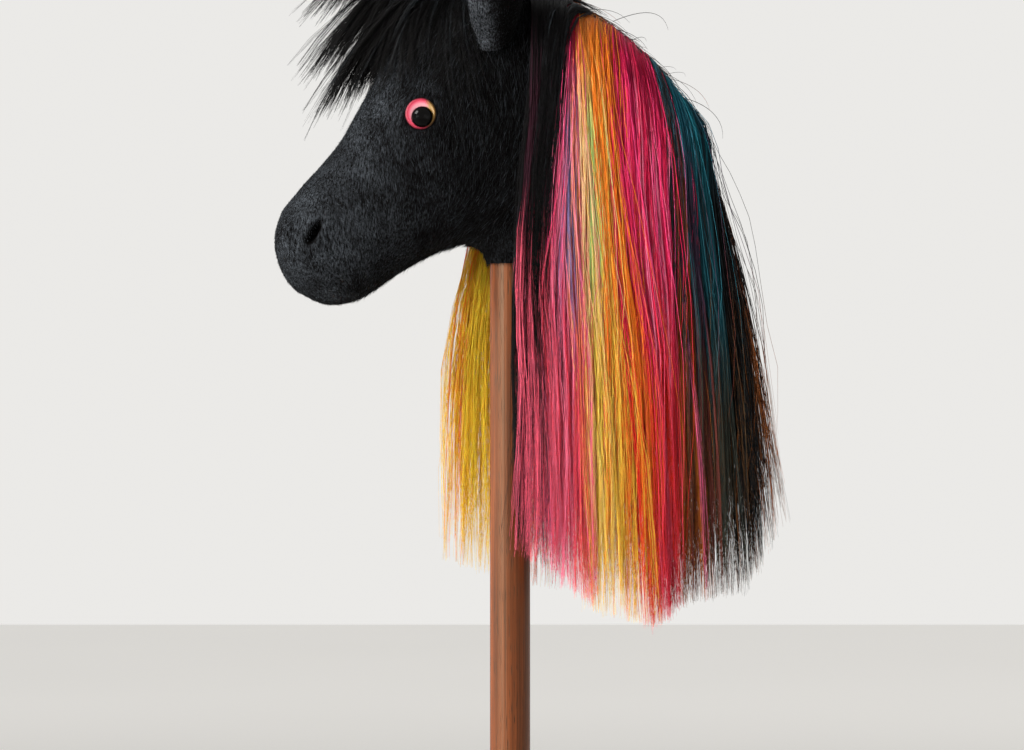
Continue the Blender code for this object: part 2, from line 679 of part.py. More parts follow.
def ear(side, head_cutter):
    """The back and the lining of one ear, seated on the head."""
    word = side_name(side)
    rows = ear_grid(side, 0, 1, 1)
    back = shell_between(f"{word}_ear_back", rows, -EAR_WALL, 0, "felt")
    rows = ear_grid(side, EAR_WALL + LINING_GAP, LINING_SHARE, LINING_SHARE)
    lining = shell_between(f"{word}_ear_lining", rows, -LINING_WALL, 0, "lining")
    for piece in (back, lining):
        boolean(piece, head_cutter)


def closed_head(name, grow):
    """The whole head as one solid, grown by grow, to cut what is seated on it."""
    bm, _, _ = head_surface(len(HEAD_STATIONS) - 1, cap_end=True)
    outwards = {v: v.normal * grow for v in bm.verts}
    for vertex, step in outwards.items():
        vertex.co += step
    return as_cutter(object_from(name, bm, None))


def tape(skin, name, stations):
    """A strip of tape on the head's top line, over the seam, which the hair is sewn to."""
    first, last = [NOSE_RINGS + round(s * RINGS_PER_STATION) for s in stations]
    top = RING_POINTS // 2
    rows = [ring[top - 1 : top + 2] for ring in skin.rings[first : last + 1]]
    shell_between(name, rows, GAP, GAP + TAPE_THICKNESS, "tape")


def draped(skin, path, side):
    """Hair that follows path (x, z places) over the side of the neck, and hangs free below it."""
    line, out = [], ROOT_FROM_MIDDLE
    for place in path:
        width = skin.half_width(place.x, place.z)
        out = max(out - HANG_RELAX, width + HAIR_STANDOFF if width else 0.0, ROOT_FROM_MIDDLE)
        line.append(skin.lifted(Vector((place.x, side * out, place.z)), HAIR_STANDOFF))
    for i in range(1, len(line) - 1):
        middle = (line[i - 1] + line[i + 1]) / 2
        if side * (middle.y - line[i].y) > 0:
            line[i] = (middle + line[i]) / 2
    return [skin.lifted(place, HAIR_STANDOFF) for place in line]


def steps_to(count):
    """Shares of a path, closer together near its root."""
    return [(i / count) ** ROOT_CROWDING for i in range(count + 1)]


def column_shares():
    """Where a tress's columns lie across it, from 0 to 1 between its two partings."""
    half = TRESS_POINTS // 2
    return [(1 - math.cos(math.pi * k / half)) / 2 for k in range(half + 1)]


def beyond(length, start):
    """How far a share of the length has gone from start, 0, to the end, 1."""
    return max(0.0, length - start) / (1 - start)


def on_side(direction, side):
    """A direction given for the far side, turned to the named side."""
    x, y, z = direction
    return Vector((x, side * y, z))


def tress(name, columns, outwards, finish, full_thickness=TRESS_THICKNESS):
    """A lock of hair over a grid of places: ridged along its length, thin and ragged at the tip."""
    bm = bmesh.new()
    half = TRESS_POINTS // 2
    last_row, shares = len(columns[0]) - 1, column_shares()
    rings = []
    for i in range(last_row + 1):
        length = i / last_row
        row = narrowed([column[i] for column in columns], length)
        thickness = full_thickness / 2
        thickness *= 1 - (1 - TRESS_TIP_SHARE) * length**TRESS_TIP_CURVE
        thickness *= TRESS_ROOT_SHARE + (1 - TRESS_ROOT_SHARE) * min(1.0, length * TRESS_ROOT_RUN)
        ridge_depth = TRESS_RIDGE_DEPTH * min(1.0, length * TRESS_RIDGE_RUN)
        ring = []
        for k in range(TRESS_POINTS):
            c = min(k, TRESS_POINTS - k)
            ahead, behind = columns[c][min(i + 1, last_row)], columns[c][max(i - 1, 0)]
            along = (ahead - behind).normalized()
            face = (row[min(c + 1, half)] - row[max(c - 1, 0)]).cross(along).normalized()
            face = face if face.dot(outwards) > 0 else -face
            wave = math.cos(math.tau * TRESS_RIDGES * shares[c])
            ridge = (1 + ridge_depth * wave) / (1 + TRESS_RIDGE_DEPTH)
            lift = thickness * math.sin(math.tau * k / TRESS_POINTS) * ridge
            drop = TRESS_RAGGED * beyond(length, TRESS_RAGGED_FROM) * wave
            ring.append(bm.verts.new(row[c] + face * lift + along * drop))
        rings.append(ring)
    for first, second in zip(rings, rings[1:]):
        for k in range(TRESS_POINTS):
            after = (k + 1) % TRESS_POINTS
            bm.faces.new((first[k], first[after], second[after], second[k]))
    for ring in (rings[0], rings[-1]):
        bm.faces.new((ring[0], ring[1], ring[-1]))
        for k in range(1, half - 1):
            bm.faces.new((ring[k], ring[k + 1], ring[-k - 1], ring[-k]))
        bm.faces.new((ring[half - 1], ring[half], ring[half + 1]))
    return object_from(name, bm, finish)


def narrowed(row, length):
    """A row of a tress, drawn in from its partings by their gap and towards its tip."""
    middle = (row[0] + row[-1]) / 2
    width = (row[-1] - row[0]).length
    share = 1 - TRESS_PARTING_GAP / width
    share *= 1 - TRESS_TIP_TAPER * beyond(length, TRESS_TAPER_FROM)
    return [middle + (place - middle) * share for place in row]


def mane_root(skin, station, side):
    """Where the middle of a tress leaves the tape, at a place on the crest."""
    beside = skin.crest(station) + Vector((0, side * ROOT_FROM_MIDDLE, 0))
    return skin.lifted(beside, HAIR_STANDOFF)


def mane_side(skin, side, partings, names):
    """The tresses that hang on one side of the neck."""
    pieces = []
    for left, right, colour in zip(partings, partings[1:], names):
        columns = []
        for share in column_shares():
            root = skin.crest(left[0] + (right[0] - left[0]) * share)
            pull, tip = [
                in_head(a[0], 0, a[1]).lerp(in_head(b[0], 0, b[1]), share)
                for a, b in zip(left[1:], right[1:])
            ]
            path = [quadratic(root, pull, tip, t) for t in steps_to(TRESS_STEPS)]
            columns.append(draped(skin, path, side))
        finish = TRESS_COLOURS.get(colour, f"{colour}_hair")
        name = f"{side_name(side)}_tress_{colour}"
        pieces.append(tress(name, columns, on_side(MANE_OUTWARDS, side), finish))
    return pieces


def hang_on(name, place, pieces):
    """Parents pieces to an empty on their hinge, without moving them."""
    hinge = bpy.data.objects.new(name, None)
    bpy.context.scene.collection.objects.link(hinge)
    hinge.location = place
    for piece in pieces:
        piece.parent = hinge
        piece.matrix_parent_inverse = Matrix.Translation(-place)


def forelock(skin):
    """Five tresses, from between the ears forward over the brow and from the brow down its sides."""

    def between(left, right, side=0):
        columns = []
        for share in column_shares():
            root, pull, tip = [in_head(*a).lerp(in_head(*b), share) for a, b in zip(left, right)]
            path = [quadratic(root, pull, tip, t) for t in steps_to(TRESS_STEPS)]
            columns.append(draped(skin, path, side) if side else path)
        return columns

    up = Vector(FORELOCK_OUTWARDS)
    pieces = []
    for layer, left in FORELOCK_MIDDLE.items():
        right = [(x, -y, z) for x, y, z in left]
        columns = between(left, right)
        name = f"forelock_{layer}"
        pieces.append(tress(name, columns, up, "black_hair", FORELOCK_THICKNESS))
    hang_on("forelock_hinge", in_head(*FORELOCK_HINGE), pieces)
    for side in (-1, 1):
        columns = between(*FORELOCK_SIDE, side)
        for column in columns:
            for place in column:
                place.y = side * max(side * place.y, FORELOCK_SIDE_OUT)
        outwards = on_side(FORELOCK_SIDE_OUTWARDS, side)
        piece = tress(f"forelock_{side_name(side)}", columns, outwards, "black_hair")
        root = (columns[0][0] + columns[-1][0]) / 2
        hang_on(f"forelock_{side_name(side)}_hinge", root, [piece])


def hang_mane(skin, side, partings, names, groups):
    """Builds one side's tresses and hangs them in flaps, each on its run of the crest."""
    pieces = mane_side(skin, side, partings, names)
    for flap, (first, last) in groups.items():
        roots = [mane_root(skin, partings[i][0], side) for i in (first, last)]
        place = (roots[0] + roots[1]) / 2
        hang_on(f"{side_name(side)}_mane_{flap}_hinge", place, pieces[first:last])


def main():
    """Builds every piece."""
    clear_scene()
    skin = HeadSkin()
    stick()
    peg_shape("head_peg", PEG_RADIUS, PEG_LENGTH)
    stick_pad()
    drawcord()
    core = stuffing()
    boolean(core, stick_bore())
    peg_bore = peg_shape("peg_pocket", PEG_RADIUS + GAP, PEG_LENGTH + 2 * GAP, cutter=True)
    boolean(core, peg_bore)
    near_cover, far_cover = cover_half(skin, -1), cover_half(skin, 1)
    eye(skin, near_cover, core, -1)
    eye(skin, far_cover, core, 1)
    nostrils(skin, near_cover, far_cover, core)
    head_cutter = closed_head("head_cutter", GAP)
    ear(-1, head_cutter)
    ear(1, head_cutter)
    tape(skin, "mane_tape", MANE_TAPE_STATIONS)
    tape(skin, "forelock_tape", FORELOCK_TAPE_STATIONS)
    hang_mane(skin, -1, NEAR_PARTINGS, NEAR_TRESSES, NEAR_FLAPS)
    hang_mane(skin, 1, FAR_PARTINGS, FAR_TRESSES, FAR_FLAPS)
    forelock(skin)


main()
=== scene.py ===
"""Looks of the hobby horse: its felt head, glass-bright eyes, dyed hair and stained stick.

Metres, +Z up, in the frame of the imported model. The horse looks along -X and shows its near side
(-Y) to the camera. Each sub-assembly is a class that builds and dresses its own pieces.
"""

import json
import logging
import math
from collections.abc import Callable, Iterable, Sequence
from dataclasses import dataclass, field
from enum import Enum
from functools import partial

import bpy
import numpy as np
from bpy.types import Node, NodeSocket, NodeTree, Object
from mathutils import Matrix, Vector
from mathutils.bvhtree import BVHTree


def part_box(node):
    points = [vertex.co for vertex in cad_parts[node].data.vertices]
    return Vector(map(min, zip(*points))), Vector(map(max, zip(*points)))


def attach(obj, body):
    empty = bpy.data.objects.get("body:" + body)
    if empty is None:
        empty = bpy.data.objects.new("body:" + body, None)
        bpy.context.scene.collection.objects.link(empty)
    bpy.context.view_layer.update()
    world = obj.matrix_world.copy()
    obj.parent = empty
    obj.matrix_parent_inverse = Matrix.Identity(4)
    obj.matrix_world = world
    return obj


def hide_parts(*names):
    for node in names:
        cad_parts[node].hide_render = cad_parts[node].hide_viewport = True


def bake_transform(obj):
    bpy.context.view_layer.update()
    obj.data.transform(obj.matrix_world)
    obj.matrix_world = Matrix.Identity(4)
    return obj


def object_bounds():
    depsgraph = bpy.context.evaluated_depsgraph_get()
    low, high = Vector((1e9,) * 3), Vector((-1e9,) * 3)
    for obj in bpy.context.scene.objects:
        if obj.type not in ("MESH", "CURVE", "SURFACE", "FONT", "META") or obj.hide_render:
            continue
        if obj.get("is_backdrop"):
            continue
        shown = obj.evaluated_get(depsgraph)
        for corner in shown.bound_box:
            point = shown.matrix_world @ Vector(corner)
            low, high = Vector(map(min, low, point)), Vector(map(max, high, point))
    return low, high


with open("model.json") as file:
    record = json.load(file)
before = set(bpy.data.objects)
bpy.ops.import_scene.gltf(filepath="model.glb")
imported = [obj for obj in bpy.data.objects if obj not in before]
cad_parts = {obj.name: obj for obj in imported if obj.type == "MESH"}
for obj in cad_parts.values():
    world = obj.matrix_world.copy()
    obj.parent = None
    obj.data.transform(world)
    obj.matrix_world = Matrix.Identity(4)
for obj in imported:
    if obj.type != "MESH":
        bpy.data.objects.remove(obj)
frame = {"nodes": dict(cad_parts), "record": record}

LOG = logging.getLogger("hobby_horse")
MM = 0.001
ROOT = "horse"  # the body that everything but the swinging hair is part of
HEM_HEIGHT = 720.0 * MM  # from the foot of the stick to the bottom hem of the neck
STRAND_UV = "OFBake"  # across: the dye; up: from root to tip
STRAND_WIDTH = 0.001  # of the map, from one corner of a strand to the next

# Cross-sections of the head from the muzzle to the hem, in mm from the stick's axis and the hem:
# top x, z, underside x, z, half width and roundness (1 is an ellipse, less is fuller)
HEAD_STATIONS = (
    (-140.5, 35.5, -132.0, -17.5, 23.5, 1.00),
    (-129.0, 49.0, -114.5, -25.5, 28.0, 0.95),
    (-112.0, 68.0, -94.5, -22.5, 30.0, 0.90),
    (-98.0, 89.5, -72.0, -7.0, 33.0, 0.86),
    (-84.5, 112.5, -49.5, 5.5, 37.5, 0.84),
    (-68.5, 141.0, -34.0, 11.5, 40.5, 0.84),
    (-43.5, 166.5, -28.6, 12.6, 41.0, 0.86),
    (-6.0, 177.5, -26.2, 11.6, 40.0, 0.88),
    (31.0, 165.0, -24.0, 10.9, 37.5, 0.90),
    (67.5, 143.0, -22.0, 10.1, 35.5, 0.92),
    (98.5, 113.0, -20.3, 9.3, 33.5, 0.94),
    (115.5, 78.0, -19.2, 8.6, 31.5, 0.96),
    (110.0, 43.5, -18.4, 7.9, 29.0, 0.98),
    (82.0, 19.5, -17.7, 7.2, 25.5, 1.00),
    (42.0, 9.0, -17.1, 6.3, 20.5, 1.00),
    (22.0, 6.2, -16.9, 5.6, 17.6, 1.00),
    (15.8, 3.2, -15.8, 3.6, 15.8, 1.00),
    (15.0, 0.0, -15.0, 0.0, 15.0, 1.00),
)
NOSE_BULGE = 9.5 * MM  # how far the rounded nose stands before the first station
NOSE_FORWARD = np.array((-0.9767, 0.0, -0.2149))
NOSE_TURN = math.radians(40)  # how far it already turns in where it leaves the first station


class Side(Enum):
    """The two sides of the horse, as the sign of Y."""

    NEAR = -1
    FAR = 1

    @property
    def word(self) -> str:
        """The side's name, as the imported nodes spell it."""
        return self.name.lower()


class Dye(Enum):
    """Colours of hair, as sRGB at the root, half way and at the tip, in the order of the chart."""

    BLACK_TO_PINK = ((7, 6, 7), (48, 22, 32), (246, 94, 118))
    BLACK = ((6, 5, 6), (7, 6, 7), (10, 9, 9))
    # painted highlight: grey-blue strands that stand for light on black hair
    SMOKE = ((34, 37, 40), (44, 49, 53), (38, 40, 42))
    SABLE = ((14, 12, 12), (22, 16, 13), (124, 70, 32))
    BROWN = ((40, 44, 48), (104, 54, 32), (168, 92, 38))
    CHARCOAL = ((34, 72, 84), (44, 50, 54), (88, 60, 34))
    TEAL = ((34, 116, 132), (38, 98, 112), (66, 68, 60))
    NAVY = ((34, 100, 118), (70, 54, 74), (112, 58, 50))
    CRIMSON_TO_VIOLET = ((172, 28, 66), (126, 112, 156), (226, 68, 88))
    MAUVE = ((150, 34, 66), (164, 80, 120), (224, 96, 136))
    CRIMSON = ((184, 28, 68), (206, 36, 78), (204, 46, 36))
    HOT_PINK = ((222, 48, 100), (246, 66, 122), (240, 64, 84))
    PINK = ((200, 34, 74), (255, 120, 154), (255, 108, 136))
    SALMON = ((220, 54, 80), (255, 140, 120), (255, 114, 76))
    ORANGE = ((252, 128, 40), (250, 120, 36), (250, 116, 40))
    GOLD = ((252, 150, 50), (252, 176, 72), (255, 190, 66))
    YELLOW = ((255, 190, 60), (255, 196, 62), (255, 196, 60))
    ORANGE_TO_GREEN = ((250, 140, 56), (188, 222, 132), (255, 188, 70))
    ORANGE_TO_CREAM = ((250, 150, 64), (248, 194, 142), (255, 200, 104))

    @property
    def start(self) -> float:
        """Where the dye's own stretch of the chart starts, from 0 to 1."""
        return list(Dye).index(self) / len(Dye)

    @property
    def place(self) -> float:
        """The middle of its stretch."""
        return self.start + 0.5 / len(Dye)


def linear(srgb: Sequence[float]) -> tuple[float, float, float, float]:
    """An sRGB colour of 0 to 255 as Blender's linear colour with full alpha.

    Args:
        srgb: Red, green and blue from 0 to 255.

    Returns:
        The linear red, green, blue and alpha.
    """
    shares = [value / 255 for value in srgb]
    lit = [s / 12.92 if s <= 0.04045 else ((s + 0.055) / 1.055) ** 2.4 for s in shares]
    return (lit[0], lit[1], lit[2], 1.0)


def coloured(stops: Iterable[tuple]) -> list[tuple]:
    """A ramp's stops, given in sRGB, with linear colours."""
    return [(place, linear(colour)) for place, colour in stops]


# Node trees and finishes


class Graph:
    """Adds nodes to a tree, each in one call that also sets and joins its inputs."""

    def __init__(self, tree: NodeTree) -> None:
        """Keeps the tree that the nodes go into."""
        self.tree = tree

    def node(self, kind: str, inputs: dict | None = None, **settings: object) -> Node:
        """Adds one node.

        Args:
            kind: The node's type.
            inputs: Values or other nodes' sockets, by input name or number.
            **settings: The node's own properties.

        Returns:
            The new node.
        """
        made = self.tree.nodes.new(kind)
        for name, value in settings.items():
            setattr(made, name, value)
        for key, value in (inputs or {}).items():
            if isinstance(value, NodeSocket):
                self.tree.links.new(value, made.inputs[key])
            else:
                made.inputs[key].default_value = value
        return made

    def math(self, operation: str, first: object, second: object = 0.0) -> NodeSocket:
        """The result of one operation on two numbers."""
        made = self.node("ShaderNodeMath", {0: first, 1: second}, operation=operation)
        return made.outputs[0]

    def times(self, first: object, second: object) -> NodeSocket:
        """The product of two numbers."""
        return self.math("MULTIPLY", first, second)

    def plus(self, first: object, second: object) -> NodeSocket:
        """The sum of two numbers."""
        return self.math("ADD", first, second)

    def vector(self, operation: str, first: object, second: object) -> NodeSocket:
        """The result of one operation on two vectors."""
        made = self.node("ShaderNodeVectorMath", {0: first, 1: second}, operation=operation)
        return made.outputs[0]

    def scaled(self, vector: object, amount: object) -> NodeSocket:
        """A vector times a number."""
        made = self.node("ShaderNodeVectorMath", {0: vector, "Scale": amount}, operation="SCALE")
        return made.outputs[0]

    def length(self, vector: object) -> NodeSocket:
        """How long a vector is."""
        made = self.node("ShaderNodeVectorMath", {0: vector}, operation="LENGTH")
        return made.outputs["Value"]

    def split(self, vector: object) -> bpy.types.NodeOutputs:
        """A vector's three parts."""
        return self.node("ShaderNodeSeparateXYZ", {0: vector}).outputs

    def joined(self, *parts: object) -> NodeSocket:
        """A vector of up to three parts."""
        return self.node("ShaderNodeCombineXYZ", dict(enumerate(parts))).outputs[0]

    def mixed(self, share: object, first: object, second: object) -> NodeSocket:
        """Two colours, mixed by how much of the second there is."""
        inputs = {0: share, 6: first, 7: second}
        return self.node("ShaderNodeMix", inputs, data_type="RGBA").outputs[2]

    def ramp(self, value: object, stops: Iterable[tuple], blend: str = "LINEAR") -> NodeSocket:
        """A colour looked up along a ramp.

        Args:
            value: The place on the ramp, as a socket.
            stops: (place, linear colour) pairs in order.
            blend: How it goes from one stop to the next; CONSTANT holds each colour.

        Returns:
            The colour's socket.
        """
        made = self.node("ShaderNodeValToRGB", {0: value})
        made.color_ramp.interpolation = blend
        points = made.color_ramp.elements
        for i, (place, colour) in enumerate(stops):
            point = points[i] if i < 2 else points.new(place)
            point.position = place
            point.color = colour
        return made.outputs[0]

    def spread(
        self,
        value: object,
        low: float,
        high: float,
        onto: tuple = (0.0, 1.0),
        way: str = "LINEAR",
    ) -> NodeSocket:
        """A value stretched onto another range, and held there.

        Args:
            value: The value's socket.
            low: What becomes the range's first end.
            high: What becomes its second end.
            onto: The two ends.
            way: How it goes from one to the other.

        Returns:
            The stretched value's socket.
        """
        inputs = {"Value": value, "From Min": low, "From Max": high}
        inputs |= {"To Min": onto[0], "To Max": onto[1]}
        return self.node("ShaderNodeMapRange", inputs, interpolation_type=way).outputs[0]

    def noise(self, where: object, scale: float, detail: float = 2.0) -> NodeSocket:
        """Smooth noise from 0 to 1 at a place."""
        inputs = {"Vector": where, "Scale": scale, "Detail": detail}
        return self.node("ShaderNodeTexNoise", inputs).outputs[0]

    def on_object(
        self, scale: Sequence[float] = (1, 1, 1), turn: Sequence[float] = (0, 0, 0)
    ) -> NodeSocket:
        """Object coordinates, stretched by scale and turned.

        Args:
            scale: What the coordinate along each axis is multiplied by.
            turn: The turn round each axis, in radians.

        Returns:
            The coordinates' socket.
        """
        place = self.node("ShaderNodeTexCoord").outputs["Object"]
        inputs = {"Vector": place, "Rotation": turn, "Scale": scale}
        return self.node("ShaderNodeMapping", inputs).outputs[0]

    def on_strand(self) -> NodeSocket:
        """A strand's own map: its dye across, and from root to tip."""
        return self.node("ShaderNodeUVMap", uv_map=STRAND_UV).outputs[0]

    def bump(self, height: object, distance: float, strength: float = 1.0) -> NodeSocket:
        """A bumped normal from a height.

        Args:
            height: The height's socket, from 0 to 1.
            distance: What a height of 1 is in metres.
            strength: How much of it shows.

        Returns:
            The normal's socket.
        """
        inputs = {"Height": height, "Distance": distance, "Strength": strength}
        return self.node("ShaderNodeBump", inputs).outputs[0]


@dataclass(frozen=True)
class Finish:
    """A procedural finish: its plain settings, and the slot of the record that it belongs to."""

    name: str
    slot: str
    roughness: float = 0.8
    specular: float = 0.5
    gloss_tint: tuple = (1.0, 1.0, 1.0)

    def material(self) -> bpy.types.Material:
        """The finish as a material, made once.

        Returns:
            The material.
        """
        found = bpy.data.materials.get(self.name)
        if found:
            return found
        made = bpy.data.materials.new(self.name)
        made.use_nodes = True
        shader = made.node_tree.nodes["Principled BSDF"]
        shader.inputs["Roughness"].default_value = self.roughness
        shader.inputs["Specular IOR Level"].default_value = self.specular
        shader.inputs["Specular Tint"].default_value = (*self.gloss_tint, 1.0)
        self.draw(Graph(made.node_tree), shader)
        return made

    def draw(self, graph: Graph, shader: Node) -> None:
        """Draws the finish's own pattern; each kind of finish has its own."""
        raise NotImplementedError

    def colour(self, graph: Graph, shader: Node, socket: object) -> None:
        """Joins a colour to the shader."""
        graph.tree.links.new(socket, shader.inputs["Base Color"])

    def surface(self, graph: Graph, shader: Node, normal: object) -> None:
        """Joins a bumped normal to the shader."""
        graph.tree.links.new(normal, shader.inputs["Normal"])


@dataclass(frozen=True)
class Felt(Finish):
    """Matted wool: fine tangled fibres with a painted grey-blue sheen on their tops, painted shade
    in the hollows between them, and painted light that is fullest towards the front.
    """

    deep: tuple = (3, 3, 3)  # painted shade between the fibres
    dark: tuple = (7, 6, 6)
    # painted sheen: the grey-blue that light gives the fibre tops
    light: tuple = (80, 85, 91)
    fibre: float = 1100.0  # fibres to the metre
    turns: tuple = (0.3, 1.4, 2.5)  # of its three sets of strokes
    stretch: float = 0.22  # less than 1 draws the strokes out
    brushed: tuple = (-0.015, -0.105)  # x where the painted light towards the front starts, and where it is full
    least: float = 0.42  # the share of the painted light that the shaded rest keeps
    slit: tuple = ()  # painted shade in the nostril: x, z, tilt, half length and half width of the darkened slit

    def draw(self, graph: Graph, shader: Node) -> None:
        """Tangles three sets of short strokes, each turned another way.

        Args:
            graph: The material's nodes.
            shader: The shader that the pattern goes into.
        """
        tangle = None
        for turn in self.turns:
            turned = graph.on_object((1, 1, self.stretch), (turn, 0.6 * turn, turn))
            strokes = graph.noise(turned, self.fibre, 2.0)
            tangle = strokes if tangle is None else graph.math("MAXIMUM", tangle, strokes)
        cloud = graph.noise(graph.on_object(), 60.0, 3.0)
        # The fibre tops take the painted sheen, and the hollows between them painted shade.
        height = graph.spread(tangle, 0.42, 0.74)
        share = graph.times(height, graph.spread(cloud, 0.1, 0.7))
        # Painted light: paler towards the front, where the key light falls on the muzzle.
        x = graph.split(graph.on_object())[0]
        brushed = graph.spread(x, *self.brushed, (self.least, 1.0), "SMOOTHSTEP")
        share = graph.times(share, brushed)
        # Painted shade inside the nostril's slit.
        if self.slit:
            share = graph.times(share, self.outside_slit(graph))
        stops = ((0.0, linear(self.deep)), (0.12, linear(self.dark)), (1.0, linear(self.light)))
        self.colour(graph, shader, graph.ramp(share, stops))
        self.surface(graph, shader, graph.bump(height, 0.35 * MM, 0.7))

    def outside_slit(self, graph: Graph) -> NodeSocket:
        """0 inside the nostril's slit, seen from the side, and 1 round it: the mask of the painted
        shade in the slit.

        Args:
            graph: The material's nodes.

        Returns:
            The value's socket.
        """
        x, z, tilt, half_length, half_width = self.slit
        offset = graph.vector("SUBTRACT", graph.on_object(), (x, 0.0, z))
        inputs = {"Vector": offset, "Rotation": (0.0, tilt, 0.0)}
        turned = graph.node("ShaderNodeMapping", inputs).outputs[0]
        ends = (1 / half_length, 0.0, 1 / half_width)
        return graph.spread(graph.length(graph.vector("MULTIPLY", turned, ends)), 0.6, 1.5)


@dataclass(frozen=True)
class Nap(Finish):
    """Loose wool fibres on the felt: mostly black, some grey as a painted cool sheen, darker at the
    root as painted shade.
    """

    # painted shade at the root, where the fibre goes into the felt
    root: tuple = (8, 7, 7)
    # the greys are painted sheen, of fibres that catch the light
    stops: tuple = (
        (0.0, (10, 9, 9)),
        (0.3, (32, 33, 35)),
        (0.65, (78, 84, 90)),
        (1.0, (136, 144, 151)),
    )

    def draw(self, graph: Graph, shader: Node) -> None:
        """Shades each fibre by its own place on the chart, whose greys are painted sheen, and
        lighter towards its tip, with painted shade at the root.

        Args:
            graph: The material's nodes.
            shader: The shader that the pattern goes into.
        """
        across, up, _ = graph.split(graph.on_strand())
        shade = graph.ramp(across, coloured(self.stops))
        # Painted shade towards the root.
        tip = graph.spread(up, 0.0, 0.6)
        self.colour(graph, shader, graph.mixed(tip, linear(self.root), shade))


@dataclass(frozen=True)
class Hair(Finish):
    """Dyed hair: a colour for each strand, which changes from root to tip."""

    to_middle: tuple = (0.12, 0.30)  # the run of its length in which the root colour goes
    to_tip: tuple = (0.50, 0.70)
    strands_apart: float = 400.0
    uneven: float = 0.22  # how far along its length a strand's dye starts sooner or later
    levels: tuple = (0.72, 1.6)  # how dark and how bright a strand can be, to its dye
    palest: float = 0.96

    def draw(self, graph: Graph, shader: Node) -> None:
        """Looks each strand up on the dye chart, and makes some a little paler or darker.

        Args:
            graph: The material's nodes.
            shader: The shader that the pattern goes into.
        """
        key, down, _ = graph.split(graph.on_strand())
        charts = [
            graph.ramp(key, coloured((dye.start, dye.value[i]) for dye in Dye), "CONSTANT")
            for i in range(3)
        ]
        own = graph.node(
            "ShaderNodeTexNoise",
            {"W": key, "Scale": self.strands_apart, "Detail": 0.0},
            noise_dimensions="1D",
        ).outputs[0]
        shift = graph.times(graph.math("SUBTRACT", own, 0.5), self.uneven)
        down = graph.plus(down, shift)
        dyed = graph.mixed(graph.spread(down, *self.to_middle), charts[0], charts[1])
        dyed = graph.mixed(graph.spread(down, *self.to_tip), dyed, charts[2])
        bright = graph.scaled(dyed, graph.spread(own, 0.25, 0.75, self.levels))
        self.colour(graph, shader, graph.vector("MINIMUM", bright, [self.palest] * 3))


@dataclass(frozen=True)
class StainedWood(Finish):
    """Turned wood with long grain and open pores under a satin reddish stain."""

    stops: tuple = (
        (0.0, (66, 29, 12)),
        (0.4, (96, 45, 19)),
        (0.7, (118, 58, 26)),
        (1.0, (140, 74, 36)),
    )
    along: int = 2  # the axis that the grain runs along
    # Rings, streaks and pores: how far each is drawn out, how many to the metre, and its detail
    grains: tuple = ((0.035, 130.0, 3.0), (0.012, 900.0, 4.0), (0.05, 1500.0, 1.0))
    shine: tuple = (0.42, 0.58)

    def draw(self, graph: Graph, shader: Node) -> None:
        """Draws rings cut lengthways, fine streaks and short dark pores.

        Args:
            graph: The material's nodes.
            shader: The shader that the pattern goes into.
        """
        broad, fine, pores = [
            graph.noise(graph.on_object([stretch if i == self.along else 1.0 for i in range(3)]),
                        scale, detail)
            for stretch, scale, detail in self.grains
        ]
        grain = graph.plus(graph.times(broad, 0.55),
                           graph.times(fine, 0.45))
        stained = graph.ramp(graph.spread(grain, 0.36, 0.66), coloured(self.stops))
        open_pore = graph.spread(pores, 0.62, 0.72)
        dark = linear([0.7 * c for c in self.stops[0][1]])
        self.colour(graph, shader, graph.mixed(open_pore, stained, dark))
        shine = graph.spread(fine, 0.0, 1.0, self.shine)
        graph.tree.links.new(shine, shader.inputs["Roughness"])
        depth = graph.math("SUBTRACT", graph.times(fine, 0.5), open_pore)
        self.surface(graph, shader, graph.bump(depth, 0.12 * MM, 0.6))


@dataclass(frozen=True)
class Mottled(Finish):
    """Two close colours in soft patches, with a fine bump: foam, wadding, plastic or thread."""

    base: tuple = (200, 196, 186)
    patch: tuple = (222, 219, 210)
    grain: float = 700.0  # grains to the metre
    depth: float = 0.2 * MM

    def draw(self, graph: Graph, shader: Node) -> None:
        """Mixes the two colours by noise, and bumps by finer noise.

        Args:
            graph: The material's nodes.
            shader: The shader that the pattern goes into.
        """
        place = graph.on_object()
        share = graph.spread(graph.noise(place, self.grain / 4, 3.0), 0.3, 0.7)
        self.colour(graph, shader, graph.mixed(share, linear(self.base), linear(self.patch)))
        fine = graph.noise(place, self.grain, 3.0)
        self.surface(graph, shader, graph.bump(fine, self.depth, 0.6))


@dataclass(frozen=True)
class Woven(Finish):
    """A narrow woven tape: threads over and under each other."""

    base: tuple = (26, 24, 24)
    thread: tuple = (48, 45, 45)
    pitch: float = 1.1 * MM

    def draw(self, graph: Graph, shader: Node) -> None:
        """Crosses two sets of waves along the object's axes.

        Args:
            graph: The material's nodes.
            shader: The shader that the pattern goes into.
        """
        x, y, _ = graph.split(graph.on_object())
        turns = math.tau / self.pitch
        along = graph.math("SINE", graph.times(x, turns))
        across = graph.math("SINE", graph.times(y, turns))
        weave = graph.spread(graph.times(along, across), -1.0, 1.0)
        fuzz = graph.noise(graph.on_object(), 2500.0, 2.0)
        share = graph.times(weave, fuzz)
        self.colour(graph, shader, graph.mixed(share, linear(self.base), linear(self.thread)))
        self.surface(graph, shader, graph.bump(weave, 0.25 * MM, 0.7))


